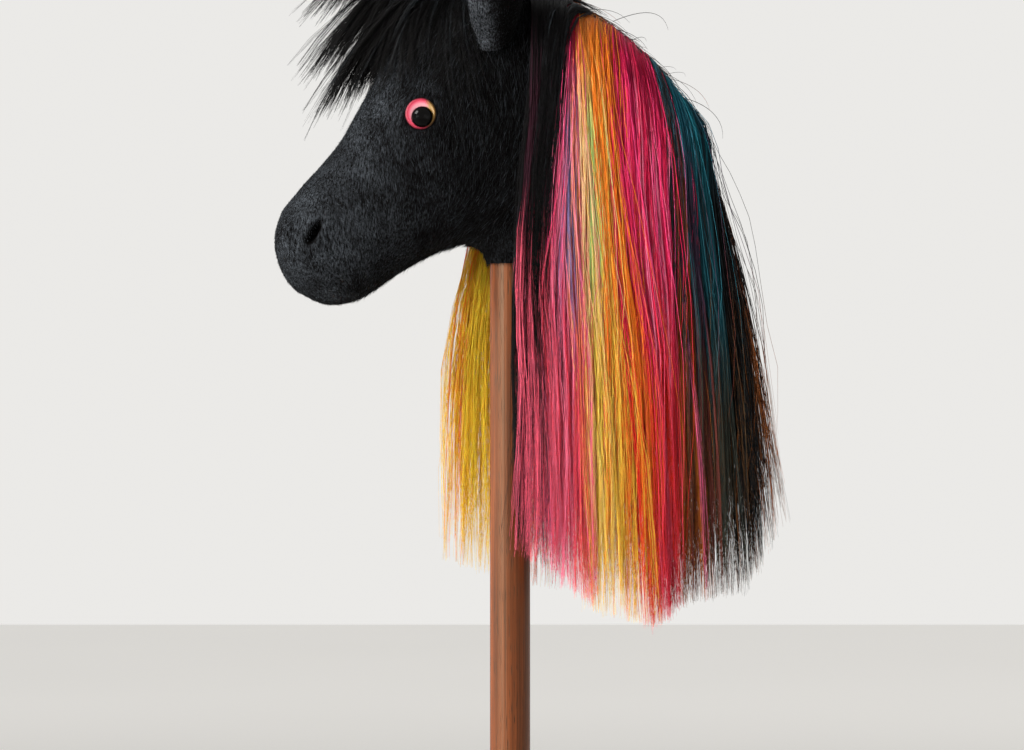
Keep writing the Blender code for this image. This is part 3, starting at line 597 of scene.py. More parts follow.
@dataclass(frozen=True)
class Iris(Finish):
    """The eye's ring: pink round to gold at the back, paler inside as a painted highlight, with a
    dark outer rim of painted shade.
    """

    middle: tuple = (0.0, 0.0, 0.0)
    radius: float = 9.6 * MM
    # Colours by their share of the radius: the pale inner pink is a painted highlight, and the dark
    # outer stops are painted shade
    pinks: tuple = (
        (0.62, (240, 164, 174)),
        (0.74, (236, 104, 130)),
        (0.85, (206, 44, 76)),
        (0.95, (132, 20, 44)),
    )
    golds: tuple = ((0.60, (190, 144, 54)), (0.84, (150, 110, 34)), (0.96, (74, 48, 18)))

    def draw(self, graph: Graph, shader: Node) -> None:
        """Paints by the direction and the distance from the ring's middle.

        Args:
            graph: The material's nodes.
            shader: The shader that the pattern goes into.
        """
        x, _, z = graph.split(graph.vector("SUBTRACT", graph.on_object(), self.middle))
        out = graph.math("DIVIDE", graph.length(graph.joined(x, z)), self.radius)
        back = graph.math("DIVIDE", x, self.radius)
        wander = graph.noise(graph.on_object(), 420.0, 3.0)
        back = graph.plus(back, graph.times(wander, 0.14))
        # Painted highlight inside and painted shade at the rim, by the distance from the middle.
        pinks, golds = (graph.ramp(out, coloured(stops)) for stops in (self.pinks, self.golds))
        ring = graph.mixed(graph.spread(back, 0.36, 0.66), pinks, golds)
        self.colour(graph, shader, ring)
        self.surface(graph, shader, graph.bump(wander, 0.1 * MM, 0.5))


@dataclass(frozen=True)
class Glassy(Finish):
    """Polished black, with dust and hairline scratches that only its gloss shows."""

    base: tuple = (3, 2, 2)
    shine: tuple = (0.06, 0.16)

    def draw(self, graph: Graph, shader: Node) -> None:
        """Roughens the gloss in faint patches.

        Args:
            graph: The material's nodes.
            shader: The shader that the pattern goes into.
        """
        scuffs = graph.noise(graph.on_object((1, 1, 0.25)), 1400.0, 4.0)
        dust = graph.spread(scuffs, 0.60, 0.80)
        pale = linear([3 * c for c in self.base])
        self.colour(graph, shader, graph.mixed(dust, linear(self.base), pale))
        shine = graph.spread(dust, 0.0, 1.0, self.shine)
        graph.tree.links.new(shine, shader.inputs["Roughness"])


NOSTRIL_AT = (-120.5, 18.7)  # x and z of the slit's middle, in mm from the axis and the hem
NOSTRIL_TILT = math.radians(60)
NOSTRIL_IN = (NOSTRIL_AT[0] * MM, HEM_HEIGHT + NOSTRIL_AT[1] * MM, NOSTRIL_TILT)
# The slit darkens the felt inside the nostril: painted shade.
FELT = Felt("black_felt", "felt", 0.95, 0.04, slit=(*NOSTRIL_IN, 7.4 * MM, 2.5 * MM))
LINING = Felt(
    "ear_lining_felt", "lining", 0.95, 0.06, dark=(12, 11, 11), light=(70, 72, 76), least=1.0
)
NAP = Nap("felt_fibres", "felt", 0.7, 0.08)
# The ear's felt: painted light makes its front edge pale, and the rest keeps a fifth of it as
# painted shade.
EAR_FELT = Felt(
    "ear_felt", "felt", 0.95, 0.05, light=(108, 113, 120), brushed=(-0.002, -0.018), least=0.2
)
STICK_WOOD = StainedWood("stained_wood", "wood", 0.5, 0.7, (1.0, 0.66, 0.42))
PALE_WOOD = (
    (0.0, (150, 112, 74)),
    (0.4, (184, 146, 100)),
    (0.7, (202, 166, 120)),
    (1.0, (220, 188, 146)),
)
PEG_WOOD = StainedWood("bare_peg_wood", "peg_wood", 0.6, 0.3, stops=PALE_WOOD, along=0)
WADDING = Mottled(
    "white_wadding", "stuffing", 0.95, 0.2, base=(206, 202, 192), patch=(230, 228, 222)
)
FOAM = Mottled(
    "grey_foam", "foam", 0.9, 0.2, base=(176, 176, 166), patch=(196, 196, 188), grain=1800.0
)
LOCK_PLASTIC = Mottled(
    "white_lock_plastic", "lock_plastic", 0.45, 0.5,
    base=(224, 223, 218), patch=(232, 232, 228), grain=300.0, depth=0.03 * MM,
)
THREAD = Mottled(
    "black_thread", "thread", 0.9, 0.05, base=(6, 6, 6), patch=(14, 13, 14), grain=3000.0
)
TAPE = Woven("woven_tape", "tape", 0.9, 0.2)
PUPIL = Glassy("polished_black", "pupil", 0.08, 0.1)


def hair_finish(slot: str) -> Hair:
    """The hair finish of one of the record's slots."""
    return Hair(f"dyed_{slot}", slot, 0.42, 0.09)


# Meshes


def piece(name: str, points: Sequence, faces: Sequence, finish: Finish) -> Object:
    """A smooth mesh object in the scene, dressed in a finish.

    Args:
        name: The object's name.
        points: Its places, in metres.
        faces: Rows of point numbers.
        finish: What it is made of.

    Returns:
        The new object.
    """
    mesh = bpy.data.meshes.new(name)
    mesh.from_pydata([tuple(p) for p in points], [], [tuple(f) for f in faces])
    mesh.validate()
    mesh.shade_smooth()
    mesh.materials.append(finish.material())
    return placed(name, mesh)


def placed(name: str, data: bpy.types.ID) -> Object:
    """A mesh, lamp or camera as an object in the scene.

    Args:
        name: The object's name.
        data: Its mesh, lamp or camera.

    Returns:
        The object.
    """
    made = bpy.data.objects.new(name, data)
    bpy.context.scene.collection.objects.link(made)
    return made


def read(mesh: bpy.types.Mesh, what: str = "co") -> np.ndarray:
    """Each vertex's place, or its normal.

    Args:
        mesh: The mesh.
        what: co for the places, normal for the normals.

    Returns:
        A row for each vertex.
    """
    found = np.empty(len(mesh.vertices) * 3)
    mesh.vertices.foreach_get(what, found)
    return found.reshape(-1, 3)


def grid_faces(rows: int, columns: int, offset: int, flip: bool, wrap: bool = False) -> list:
    """Faces of a grid of points that is numbered row by row.

    Args:
        rows: How many rows of points.
        columns: How many points in a row.
        offset: The number of the first point.
        flip: Whether the faces look the other way.
        wrap: Whether the last column joins the first.

    Returns:
        Four point numbers for each face.
    """
    faces = []
    for i in range(rows - 1):
        for j in range(columns if wrap else columns - 1):
            k = (j + 1) % columns
            first, second = offset + i * columns, offset + (i + 1) * columns
            face = (first + j, first + k, second + k, second + j)
            faces.append(face[::-1] if flip else face)
    return faces


def closed_shell(
    name: str, outer: np.ndarray, inner: np.ndarray, finish: Finish, pole: tuple | None = None
) -> Object:
    """A closed wall between two grids of points.

    Args:
        name: The object's name.
        outer: (rows, columns, 3) places of the outside.
        inner: The same for the inside.
        finish: What it is made of.
        pole: Outer and inner places that the first row closes to, if it does.

    Returns:
        The wall, with its faces pointing out.
    """
    rows, columns = outer.shape[:2]
    count = rows * columns
    points = [*outer.reshape(-1, 3), *inner.reshape(-1, 3)]
    faces = grid_faces(rows, columns, 0, False) + grid_faces(rows, columns, count, True)
    front = [i * columns for i in range(rows)]
    rims = [front, [first + columns - 1 for first in front][::-1]]
    ends = [[count - columns + j for j in range(columns)]]
    if pole is not None:
        tips = (2 * count, 2 * count + 1)
        points += [pole[0], pole[1]]
        for j in range(columns - 1):
            faces.append((tips[0], j + 1, j))
            faces.append((tips[1], count + j, count + j + 1))
        for rim, tip_first in ((rims[0], True), (rims[1], False)):
            edge = rim[0] if tip_first else rim[-1]
            quad = (tips[0], edge, edge + count, tips[1])
            faces.append(quad if tip_first else quad[::-1])
    else:
        ends.append(list(range(columns))[::-1])
    for rim in (*rims, *ends):
        for a, b in zip(rim, rim[1:]):
            faces.append((b, a, a + count, b + count))
    made = piece(name, points, faces, finish)
    point_out(made)
    return made


def point_out(made: Object) -> None:
    """Turns a closed mesh's faces outwards if its volume comes out negative.

    Args:
        made: The closed mesh.
    """
    mesh = made.data
    mesh.calc_loop_triangles()
    corners = np.empty(len(mesh.loop_triangles) * 3, np.int32)
    mesh.loop_triangles.foreach_get("vertices", corners)
    a, b, c = read(mesh)[corners.reshape(-1, 3)].transpose(1, 0, 2)
    if np.einsum("ij,ij->i", a, np.cross(b, c)).sum() < 0:
        mesh.flip_normals()


def swept(path: np.ndarray, radius: float, sides: int, closed: bool) -> tuple[list, list]:
    """A round tube along a path.

    Args:
        path: (points, 3) places along its middle.
        radius: Its radius.
        sides: How many faces round it.
        closed: Whether the path's end joins its start.

    Returns:
        The tube's points and faces.
    """
    count = len(path)
    ahead = np.roll(path, -1, 0) - np.roll(path, 1, 0)
    if not closed:
        ahead[0], ahead[-1] = path[1] - path[0], path[-1] - path[-2]
    ahead /= np.linalg.norm(ahead, axis=1)[:, None]
    reference = np.array((0.13, 0.31, 0.94)) if not closed else np.array((0.0, 0.0, 1.0))
    points = []
    for place, along in zip(path, ahead):
        across = np.cross(along, reference)
        across /= np.linalg.norm(across)
        up = np.cross(across, along)
        for k in range(sides):
            angle = math.tau * k / sides
            points.append(place + radius * (across * math.cos(angle) + up * math.sin(angle)))
    faces = grid_faces(count, sides, 0, False, wrap=True)
    if closed:
        last = (count - 1) * sides
        for k in range(sides):
            after = (k + 1) % sides
            faces.append((last + k, last + after, after, k))
    else:
        faces.append(tuple(range(sides))[::-1])
        faces.append(tuple((count - 1) * sides + k for k in range(sides)))
    return points, faces


def merged(parts: Iterable[tuple[list, list]]) -> tuple[list, list]:
    """Several bodies of points and faces as one.

    Args:
        parts: Each body's points and faces.

    Returns:
        The points and the faces of them all.
    """
    points, faces = [], []
    for some_points, some_faces in parts:
        faces += [tuple(i + len(points) for i in face) for face in some_faces]
        points += list(some_points)
    return points, faces


def waves(places: np.ndarray, length: float, seed: int) -> np.ndarray:
    """A smooth random height of about -1 to 1 at each place.

    Args:
        places: (points, 3) places.
        length: The size of its bumps, in metres.
        seed: Which random field.

    Returns:
        One height for each place.
    """
    rng = np.random.default_rng(seed)
    height = np.zeros(len(places))
    for _ in range(9):
        way = rng.normal(size=3)
        way *= math.tau / (length * rng.uniform(0.8, 1.5) * np.linalg.norm(way))
        height += np.sin(places @ way + rng.uniform(0, math.tau))
    return height / 4.0


def refined_copy(node: str, name: str, finish: Finish, depth: float, cuts: int) -> Object:
    """A soft node's own shape with finer faces and a soft unevenness, which stands for it.

    Args:
        node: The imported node.
        name: The new piece's name.
        finish: What it is made of.
        depth: How far the surface swells or sinks.
        cuts: How many times its faces are split.

    Returns:
        The new piece.
    """
    made = placed(name, frame["nodes"][node].data.copy())
    weld = made.modifiers.new("weld", "WELD")
    weld.merge_threshold = 0.002 * MM
    split = made.modifiers.new("split", "SUBSURF")
    split.subdivision_type = "SIMPLE"
    split.levels = split.render_levels = cuts
    evaluated = made.evaluated_get(bpy.context.evaluated_depsgraph_get())
    fine = bpy.data.meshes.new_from_object(evaluated)
    made.modifiers.clear()
    made.data = fine
    places = read(fine)
    places -= read(fine, "normal") * (depth * (1 + waves(places, 14 * MM, 3)) / 2)[:, None]
    fine.vertices.foreach_set("co", places.ravel())
    fine.materials.clear()
    fine.materials.append(finish.material())
    fine.shade_smooth()
    fine.set_sharp_from_angle(angle=math.radians(50))
    return made


def settle(
    made: Object, body: str, finish: Finish, *nodes: str, bend_over: float = 0.0
) -> None:
    """Hides the nodes that a finished piece stands for, and hangs the piece on its body unless
    bend_over is given.

    Args:
        made: The piece.
        body: The body that it moves with.
        finish: What it is made of; not used.
        nodes: The nodes that it stands for.
        bend_over: If not zero, the piece is baked into the frame and not hung on the body; the
        body's hinge is looked up, but nothing bends.
    """
    if nodes:
        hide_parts(*nodes)
    if bend_over:
        joint = next(j for j in frame["record"]["behaviour"]["joints"] if j["child"] == body)
        start, axis = np.array(joint["pos_m"]), np.array(joint["axis"])
        down = np.cross(axis, (0.0, 1.0, 0.0))
        down *= -np.sign(down[2])
        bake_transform(made)
    else:
        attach(made, body)
    LOG.info("%s: %d faces on %s", made.name, len(made.data.polygons), body)


def smooth_through(values: np.ndarray, places: np.ndarray) -> np.ndarray:
    """Values on a smooth curve through the rows of a table.

    Args:
        values: (rows, numbers) table.
        places: Where to read it, counted in rows.

    Returns:
        One row for each place.
    """
    last = len(values) - 1
    i = np.clip(places.astype(int), 0, last - 1)
    t = (places - i)[:, None]
    p1, p2 = values[i], values[i + 1]
    p0 = np.where((i > 0)[:, None], values[np.maximum(i - 1, 0)], 2 * p1 - p2)
    p3 = np.where((i + 2 <= last)[:, None], values[np.minimum(i + 2, last)], 2 * p2 - p1)
    return 0.5 * (
        2 * p1
        + (p2 - p0) * t
        + (2 * p0 - 5 * p1 + 4 * p2 - p3) * t**2
        + (3 * p1 - 3 * p2 + p3 - p0) * t**3
    )


def unit(vectors: np.ndarray) -> np.ndarray:
    """Vectors scaled to a length of one."""
    return vectors / np.maximum(np.linalg.norm(vectors, axis=-1, keepdims=True), 1e-12)


def in_head(x: float, y: float, z: float) -> np.ndarray:
    """A place given in mm from the stick's axis and the hem, in the frame."""
    return np.array((x * MM, y * MM, HEM_HEIGHT + z * MM))


@dataclass
class HeadSkin:
    """The head's outer skin: a smooth surface over its measured cross-sections."""

    nose_rows: int = 14
    face_rows: int = 12  # to a station, as far as the poll
    neck_rows: int = 5  # to a station, from there to the hem
    poll_station: int = 7
    points: int = 192  # round each cross-section

    def __post_init__(self) -> None:
        """Lays out the rows, and makes a tree for finding the nearest skin."""
        table = np.array(HEAD_STATIONS)
        still = np.zeros(len(table))
        self.tops = np.stack((table[:, 0] * MM, still, HEM_HEIGHT + table[:, 1] * MM), 1)
        self.undersides = np.stack((table[:, 2] * MM, still, HEM_HEIGHT + table[:, 3] * MM), 1)
        self.shape = table[:, 4:6] * (MM, 1.0)
        face = np.arange(self.poll_station * self.face_rows) / self.face_rows
        neck_count = (len(table) - 1 - self.poll_station) * self.neck_rows
        neck = self.poll_station + np.arange(neck_count + 1) / self.neck_rows
        share = np.arange(1, self.nose_rows + 1) / (self.nose_rows + 1)
        turn = math.pi / 2 + (NOSE_TURN - math.pi / 2) * share
        ahead = (np.sin(turn) - math.sin(NOSE_TURN)) / (1 - math.sin(NOSE_TURN))
        self.stations = np.concatenate((np.zeros(self.nose_rows), face, neck))
        full = np.ones(len(face) + len(neck))
        self.scale = np.concatenate((np.cos(turn) / math.cos(NOSE_TURN), full))
        self.ahead = np.concatenate((ahead, 0 * full)) * NOSE_BULGE
        self.angles = math.tau * np.arange(self.points) / self.points
        self.places, self.normals = self.surface(self.stations, self.angles, self.scale, self.ahead)
        self.tip = (self.tops[0] + self.undersides[0]) / 2 + NOSE_FORWARD * NOSE_BULGE
        rows, columns = self.places.shape[:2]
        faces = grid_faces(rows, columns, 0, False, wrap=True)
        corners = [tuple(p) for p in self.places.reshape(-1, 3)]
        self.tree = BVHTree.FromPolygons(corners, faces)

    def surface(
        self, stations: np.ndarray, angles: np.ndarray, scale: np.ndarray, ahead: np.ndarray
    ) -> tuple[np.ndarray, np.ndarray]:
        """Places and outward normals over a grid.

        Args:
            stations: The cross-section of each row.
            angles: Round each section, from the underside by the near side.
            scale: How large each row's section is.
            ahead: How far it stands forward.

        Returns:
            Two (rows, angles, 3) arrays.
        """

        def at(some_stations: np.ndarray, some_angles: np.ndarray) -> np.ndarray:
            """The places at some stations and angles.

            Args:
                some_stations: The cross-section of each row.
                some_angles: Round each section.

            Returns:
                A (rows, angles, 3) array.
            """
            top = smooth_through(self.tops, some_stations)[:, None]
            under = smooth_through(self.undersides, some_stations)[:, None]
            width, power = smooth_through(self.shape, some_stations).T[:, :, None]
            side = np.sin(some_angles)[None]
            bulge = -np.sign(side) * np.abs(side) ** power
            half = (top - under) / 2 * scale[:, None, None]
            found = (top + under) / 2 - half * np.cos(some_angles)[None, :, None]
            found[..., 1] += bulge * width * scale[:, None]
            return found + NOSE_FORWARD * ahead[:, None, None]

        places = at(stations, angles)
        step = 0.02
        round_it = at(stations, angles + step) - at(stations, angles - step)
        if len(stations) > 2:
            along = np.gradient(places, axis=0)
        else:
            along = at(stations + step, angles) - at(stations - step, angles)
        normals = unit(np.cross(round_it, along))
        middles = (smooth_through(self.tops, stations) + smooth_through(self.undersides, stations))
        outward = np.einsum("ijk,ijk->ij", normals, places - middles[:, None] / 2)
        normals *= np.sign(outward.sum())
        return places, normals

    def crest(self, station: float) -> np.ndarray:
        """A place on the head's top line."""
        return smooth_through(self.tops, np.array([station]))[0]

    def side_point(self, x: float, z: float, side: Side) -> tuple[np.ndarray, np.ndarray]:
        """Where a level line at x and z meets the skin from one side.

        Args:
            x: Along the horse, in metres.
            z: The height.
            side: Which side to come from.

        Returns:
            The place and the outward direction there.
        """
        start = Vector((x, side.value * 0.3, z))
        place, _, index, _ = self.tree.ray_cast(start, Vector((0, -side.value, 0)))
        if place is None:
            return np.array((x, 0.0, z)), np.zeros(3)
        row, column = divmod(index, self.points)
        return np.array(place), self.normals[min(row, len(self.normals) - 1), column]

    def lifted(self, place: np.ndarray, distance: float) -> np.ndarray:
        """The place, moved outwards until it stands at least distance clear of the skin.

        Args:
            place: The place.
            distance: The least distance to the skin.

        Returns:
            The place that stands clear.
        """
        for _ in range(3):
            near, _, index, _ = self.tree.find_nearest(Vector(place))
            row, column = divmod(index, self.points)
            normal = self.normals[row, column]
            short = distance - (place - np.array(near)) @ normal
            if short > 0:
                place = place + normal * short
        return place


@dataclass
class SkinPatch:
    """A grid of skin places with what the fibres on it need."""

    places: np.ndarray
    normals: np.ndarray
    strokes: np.ndarray  # the way that the fibres lie
    reach: np.ndarray  # how long they are
    cover: np.ndarray  # how many there are, as a share of the most
    pale: np.ndarray  # how pale they are, from 0 to 1: painted light, palest where the light falls
    pole: np.ndarray | None = None

    def as_object(self, name: str) -> Object:
        """The patch as an open mesh with attributes, which fibres are grown on.

        Args:
            name: The object's name.

        Returns:
            The new object.
        """
        rows, columns = self.places.shape[:2]
        faces = grid_faces(rows, columns, 0, False)
        mesh = bpy.data.meshes.new(name)
        mesh.from_pydata([tuple(p) for p in self.places.reshape(-1, 3)], [], faces)
        for label, kind, values in (
            ("stroke", "FLOAT_VECTOR", self.strokes),
            ("lift", "FLOAT_VECTOR", self.normals),
            ("reach", "FLOAT", self.reach),
            ("cover", "FLOAT", self.cover),
            ("pale", "FLOAT", self.pale),
        ):
            attribute = mesh.attributes.new(label, kind, "POINT")
            word = "vector" if kind == "FLOAT_VECTOR" else "value"
            attribute.data.foreach_set(word, values.astype(np.float32).ravel())
        return placed(name, mesh)

    def area(self) -> float:
        """Its area times its cover, in square metres.

        Returns:
            The area.
        """
        down = np.diff(self.places, axis=0)[:, :-1]
        across = np.diff(self.places, axis=1)[:-1]
        each = np.linalg.norm(np.cross(down, across), axis=-1)
        return float((each * self.cover.reshape(self.places.shape[:2])[:-1, :-1]).sum())

    def grow_nap(
        self, name: str, tree: NodeTree, count: int, lift: float, tangle: float, seed: int
    ) -> None:
        """Grows fibres on the patch, as a piece of their own.

        Args:
            name: The piece's name.
            tree: The tree that grows them.
            count: How many there are.
            lift: How far they stand up, to their length.
            tangle: How far they stray from the way that they are laid.
            seed: For the tree's random draws.
        """
        inputs = {
            "Fibres": count / self.area(),
            "Fibre Radius": 0.12 * MM,
            "Lift": lift,
            "Tangle": tangle,
            "Seed": seed,
        }
        made = grown(name, self.as_object(f"{name}_source"), tree, inputs, NAP)
        settle(made, ROOT, NAP)


# Growing: Geometry Nodes trees, and the meshes that they make


class Tree:
    """A Geometry Nodes tree with named inputs, built node by node."""

    def __init__(self, name: str, inputs: dict[str, tuple[str, object]]) -> None:
        """Starts the tree.

        Args:
            name: The node group's name.
            inputs: Socket type and default by input name.
        """
        self.group = bpy.data.node_groups.new(name, "GeometryNodeTree")
        face = self.group.interface
        face.new_socket("Geometry", in_out="INPUT", socket_type="NodeSocketGeometry")
        for label, (kind, default) in inputs.items():
            socket = face.new_socket(label, in_out="INPUT", socket_type=f"NodeSocket{kind}")
            if default is not None:
                socket.default_value = default
        face.new_socket("Geometry", in_out="OUTPUT", socket_type="NodeSocketGeometry")
        self.graph = Graph(self.group)
        self.given = self.graph.node("NodeGroupInput").outputs

    def read(self, name: str, kind: str = "FLOAT") -> NodeSocket:
        """A named attribute.

        Args:
            name: Its name.
            kind: Its type.

        Returns:
            Its socket.
        """
        return self.graph.node(
            "GeometryNodeInputNamedAttribute", {"Name": name}, data_type=kind
        ).outputs[0]

    def random(self, low: float, high: float, seed: int, who: object = None) -> NodeSocket:
        """A random number for each element.

        Args:
            low: The least.
            high: The most.
            seed: Added to the tree's own seed.
            who: What tells the elements apart, where it isn't their own number.

        Returns:
            The number's socket.
        """
        own = self.graph.plus(self.given["Seed"], float(seed))
        inputs = {2: low, 3: high, "Seed": own}
        if who is not None:
            inputs["ID"] = who
        return self.graph.node("FunctionNodeRandomValue", inputs, data_type="FLOAT").outputs[1]

    def store(
        self,
        geometry: object,
        name: str,
        value: object,
        kind: str = "FLOAT",
        domain: str = "POINT",
    ) -> NodeSocket:
        """The geometry with a value stored on it.

        Args:
            geometry: The geometry's socket.
            name: The value's name.
            value: Its socket.
            kind: Its type.
            domain: What it is stored on.

        Returns:
            The new geometry's socket.
        """
        return self.graph.node(
            "GeometryNodeStoreNamedAttribute",
            {"Geometry": geometry, "Name": name, "Value": value},
            data_type=kind,
            domain=domain,
        ).outputs[0]

    def realized(self, geometry: object) -> NodeSocket:
        """The geometry with its instances made real."""
        return self.graph.node("GeometryNodeRealizeInstances", {"Geometry": geometry}).outputs[0]

    def finish(self, geometry: object) -> NodeTree:
        """Maps the strands by dye and length, gives them their material, and ends the tree.

        Args:
            geometry: The socket of the strands.

        Returns:
            The finished tree.
        """
        width = self.graph.times(self.read("corner"), STRAND_WIDTH)
        across = self.graph.plus(self.read("dyed"), width)
        where = self.graph.joined(across, self.read("down"))
        mapped = self.store(self.realized(geometry), STRAND_UV, where, "FLOAT2", "CORNER")
        inputs = {"Geometry": self.realized(mapped), "Material": self.given["Material"]}
        dressed = self.graph.node("GeometryNodeSetMaterial", inputs).outputs[0]
        self.graph.node("NodeGroupOutput", {"Geometry": dressed})
        return self.group


def strand_tree() -> NodeTree:
    """The tree that grows many strands round each guide of a lock of hair.

    Returns:
        The tree.
    """
    tree = Tree(
        "strands",
        {
            "Strand Radius": ("Float", 0.15 * MM),
            "Frizz": ("Float", 1.5 * MM),
            "Frizz Scale": ("Float", 30.0),
            "Raggedness": ("Float", 0.25),
            "Dye Spread": ("Float", 0.01),
            "Seed": ("Int", 1),
            "Material": ("Material", None),
        },
    )
    graph, given = tree.graph, tree.given
    curves = graph.node("GeometryNodeMeshToCurve", {"Mesh": given["Geometry"]}).outputs[0]
    copies = graph.node(
        "GeometryNodeDuplicateElements",
        {"Geometry": curves, "Amount": tree.read("strands")},
        domain="SPLINE",
    ).outputs[0]
    strand = graph.node("GeometryNodeCurveOfPoint").outputs["Curve Index"]
    aside = graph.joined(*(tree.random(-1.0, 1.0, seed, strand) for seed in (1, 2, 3)))
    aside = graph.scaled(aside, tree.read("clump"))
    place = graph.node("GeometryNodeInputPosition").outputs[0]
    wander = graph.node(
        "ShaderNodeTexNoise",
        {
            "Vector": place,
            "W": tree.random(0.0, 60.0, 4, strand),
            "Scale": given["Frizz Scale"],
            "Detail": 1.0,
        },
        noise_dimensions="4D",
    ).outputs["Color"]
    wander = graph.vector("SUBTRACT", wander, (0.5, 0.5, 0.5))
    loose = graph.math("POWER", tree.read("along"), 0.6)
    own = graph.math("POWER", tree.random(0.2, 1.0, 5, strand), 3.0)
    amount = graph.times(graph.times(loose, own), given["Frizz"])
    wander = graph.scaled(wander, amount)
    moved = graph.node(
        "GeometryNodeSetPosition",
        {"Geometry": copies, "Offset": graph.vector("ADD", aside, wander)},
    ).outputs[0]
    jitter = graph.times(tree.random(-1.0, 1.0, 6, strand), given["Dye Spread"])
    dyed = tree.store(moved, "dyed", graph.plus(tree.read("dye"), jitter))
    lost = graph.math("POWER", tree.random(0.0, 1.0, 7), 2.0)
    lost = graph.times(lost, given["Raggedness"])
    cut = graph.node(
        "GeometryNodeTrimCurve", {"Curve": dyed, "End": graph.math("SUBTRACT", 1.0, lost)}
    ).outputs[0]
    down = graph.node("GeometryNodeSplineParameter").outputs["Factor"]
    marked = tree.store(cut, "down", down)
    thin = graph.math("SUBTRACT", 1.0, graph.times(graph.math("POWER", down, 3.0), 0.7))
    radius = graph.times(graph.times(thin, given["Strand Radius"]),
                        tree.random(0.7, 1.3, 8, strand))
    ring = graph.node("GeometryNodeCurvePrimitiveCircle", {"Resolution": 3, "Radius": 1.0})
    corner = graph.node("GeometryNodeInputIndex").outputs[0]
    ring = tree.store(ring.outputs[0], "corner", corner)
    mesh = graph.node(
        "GeometryNodeCurveToMesh",
        {"Curve": marked, "Profile Curve": ring, "Scale": radius, "Fill Caps": True},
    ).outputs[0]
    return tree.finish(mesh)


def nap_tree() -> NodeTree:
    """The tree that sets fibres all over a patch of skin, laid the way of its strokes.

    Returns:
        The tree.
    """
    tree = Tree(
        "nap",
        {
            "Fibres": ("Float", 1000.0),
            "Fibre Radius": ("Float", 0.12 * MM),
            "Lift": ("Float", 0.25),
            "Tangle": ("Float", 0.45),
            "Seed": ("Int", 1),
            "Material": ("Material", None),
        },
    )
    graph, given = tree.graph, tree.given
    density = graph.times(given["Fibres"], tree.read("cover"))
    spots = graph.node(
        "GeometryNodeDistributePointsOnFaces",
        {"Mesh": given["Geometry"], "Density": density, "Seed": given["Seed"]},
        distribute_method="RANDOM",
    ).outputs["Points"]
    loose = graph.joined(*(tree.random(-1.0, 1.0, seed) for seed in (10, 11, 12)))
    lift = graph.times(given["Lift"], tree.random(0.3, 1.8, 13))
    up = graph.scaled(tree.read("lift", "FLOAT_VECTOR"), lift)
    way = graph.vector("ADD", tree.read("stroke", "FLOAT_VECTOR"), up)
    way = graph.vector("ADD", way, graph.scaled(loose, given["Tangle"]))
    turn = graph.node("FunctionNodeAlignRotationToVector", {"Vector": way}, axis="Z").outputs[0]
    shape = {"Vertices": 3, "Radius Top": 0.0, "Radius Bottom": 1.0, "Depth": 1.0}
    spike = graph.node("GeometryNodeMeshCone", shape).outputs["Mesh"]
    height = graph.split(graph.node("GeometryNodeInputPosition").outputs[0])[2]
    spike = tree.store(spike, "down", height)
    corner = graph.node("GeometryNodeInputIndex").outputs[0]
    spike = tree.store(spike, "corner", corner)
    reach = graph.times(tree.read("reach"), tree.random(0.45, 1.35, 14))
    width = graph.times(given["Fibre Radius"], tree.random(0.7, 1.3, 15))
    size = graph.joined(width, width, reach)
    # Painted light: where the paleness is low most fibres are dark, as painted shade; where it is
    # high, on the lit muzzle, more are pale.
    pale = tree.read("pale")
    rarity = graph.spread(pale, 0.3, 0.9, (4.2, 1.3))
    shade = graph.math("POWER", tree.random(0.0, 1.0, 16), rarity)
    shade = graph.times(shade, graph.math("POWER", pale, 0.4))
    # The fibre's painted sheen and light go under the strand map's dye key.
    shaded = tree.store(spots, "dyed", shade)
    fibres = graph.node(
        "GeometryNodeInstanceOnPoints",
        {"Points": shaded, "Instance": spike, "Rotation": turn, "Scale": size},
    ).outputs[0]
    return tree.finish(fibres)


# The attributes that the trees read and write, which a finished piece has no need of
GROWING = ("strands", "clump", "dye", "along", "dyed", "down", "corner", "stroke", "lift", "reach",
           "cover", "pale")


def grown(
    name: str, source: Object, group: NodeTree, inputs: dict, finish: Finish
) -> Object:
    """Runs a tree on a source object and keeps its result as a plain mesh.

    Args:
        name: The new piece's name.
        source: What the tree reads; it is removed.
        group: The tree.
        inputs: Values by the tree's input names.
        finish: What the piece is made of.

    Returns:
        The new piece.
    """
    modifier = source.modifiers.new("grow", "NODES")
    modifier.node_group = group
    values = {**inputs, "Material": finish.material()}
    for item in group.interface.items_tree:
        if item.in_out == "INPUT" and item.name in values:
            modifier[item.identifier] = values[item.name]
    evaluated = source.evaluated_get(bpy.context.evaluated_depsgraph_get())
    mesh = bpy.data.meshes.new_from_object(evaluated)
    mesh.name = name
    for label in GROWING:
        if label in mesh.attributes:
            mesh.attributes.remove(mesh.attributes[label])
    mesh.shade_smooth()
    bpy.data.objects.remove(source)
    return placed(name, mesh)


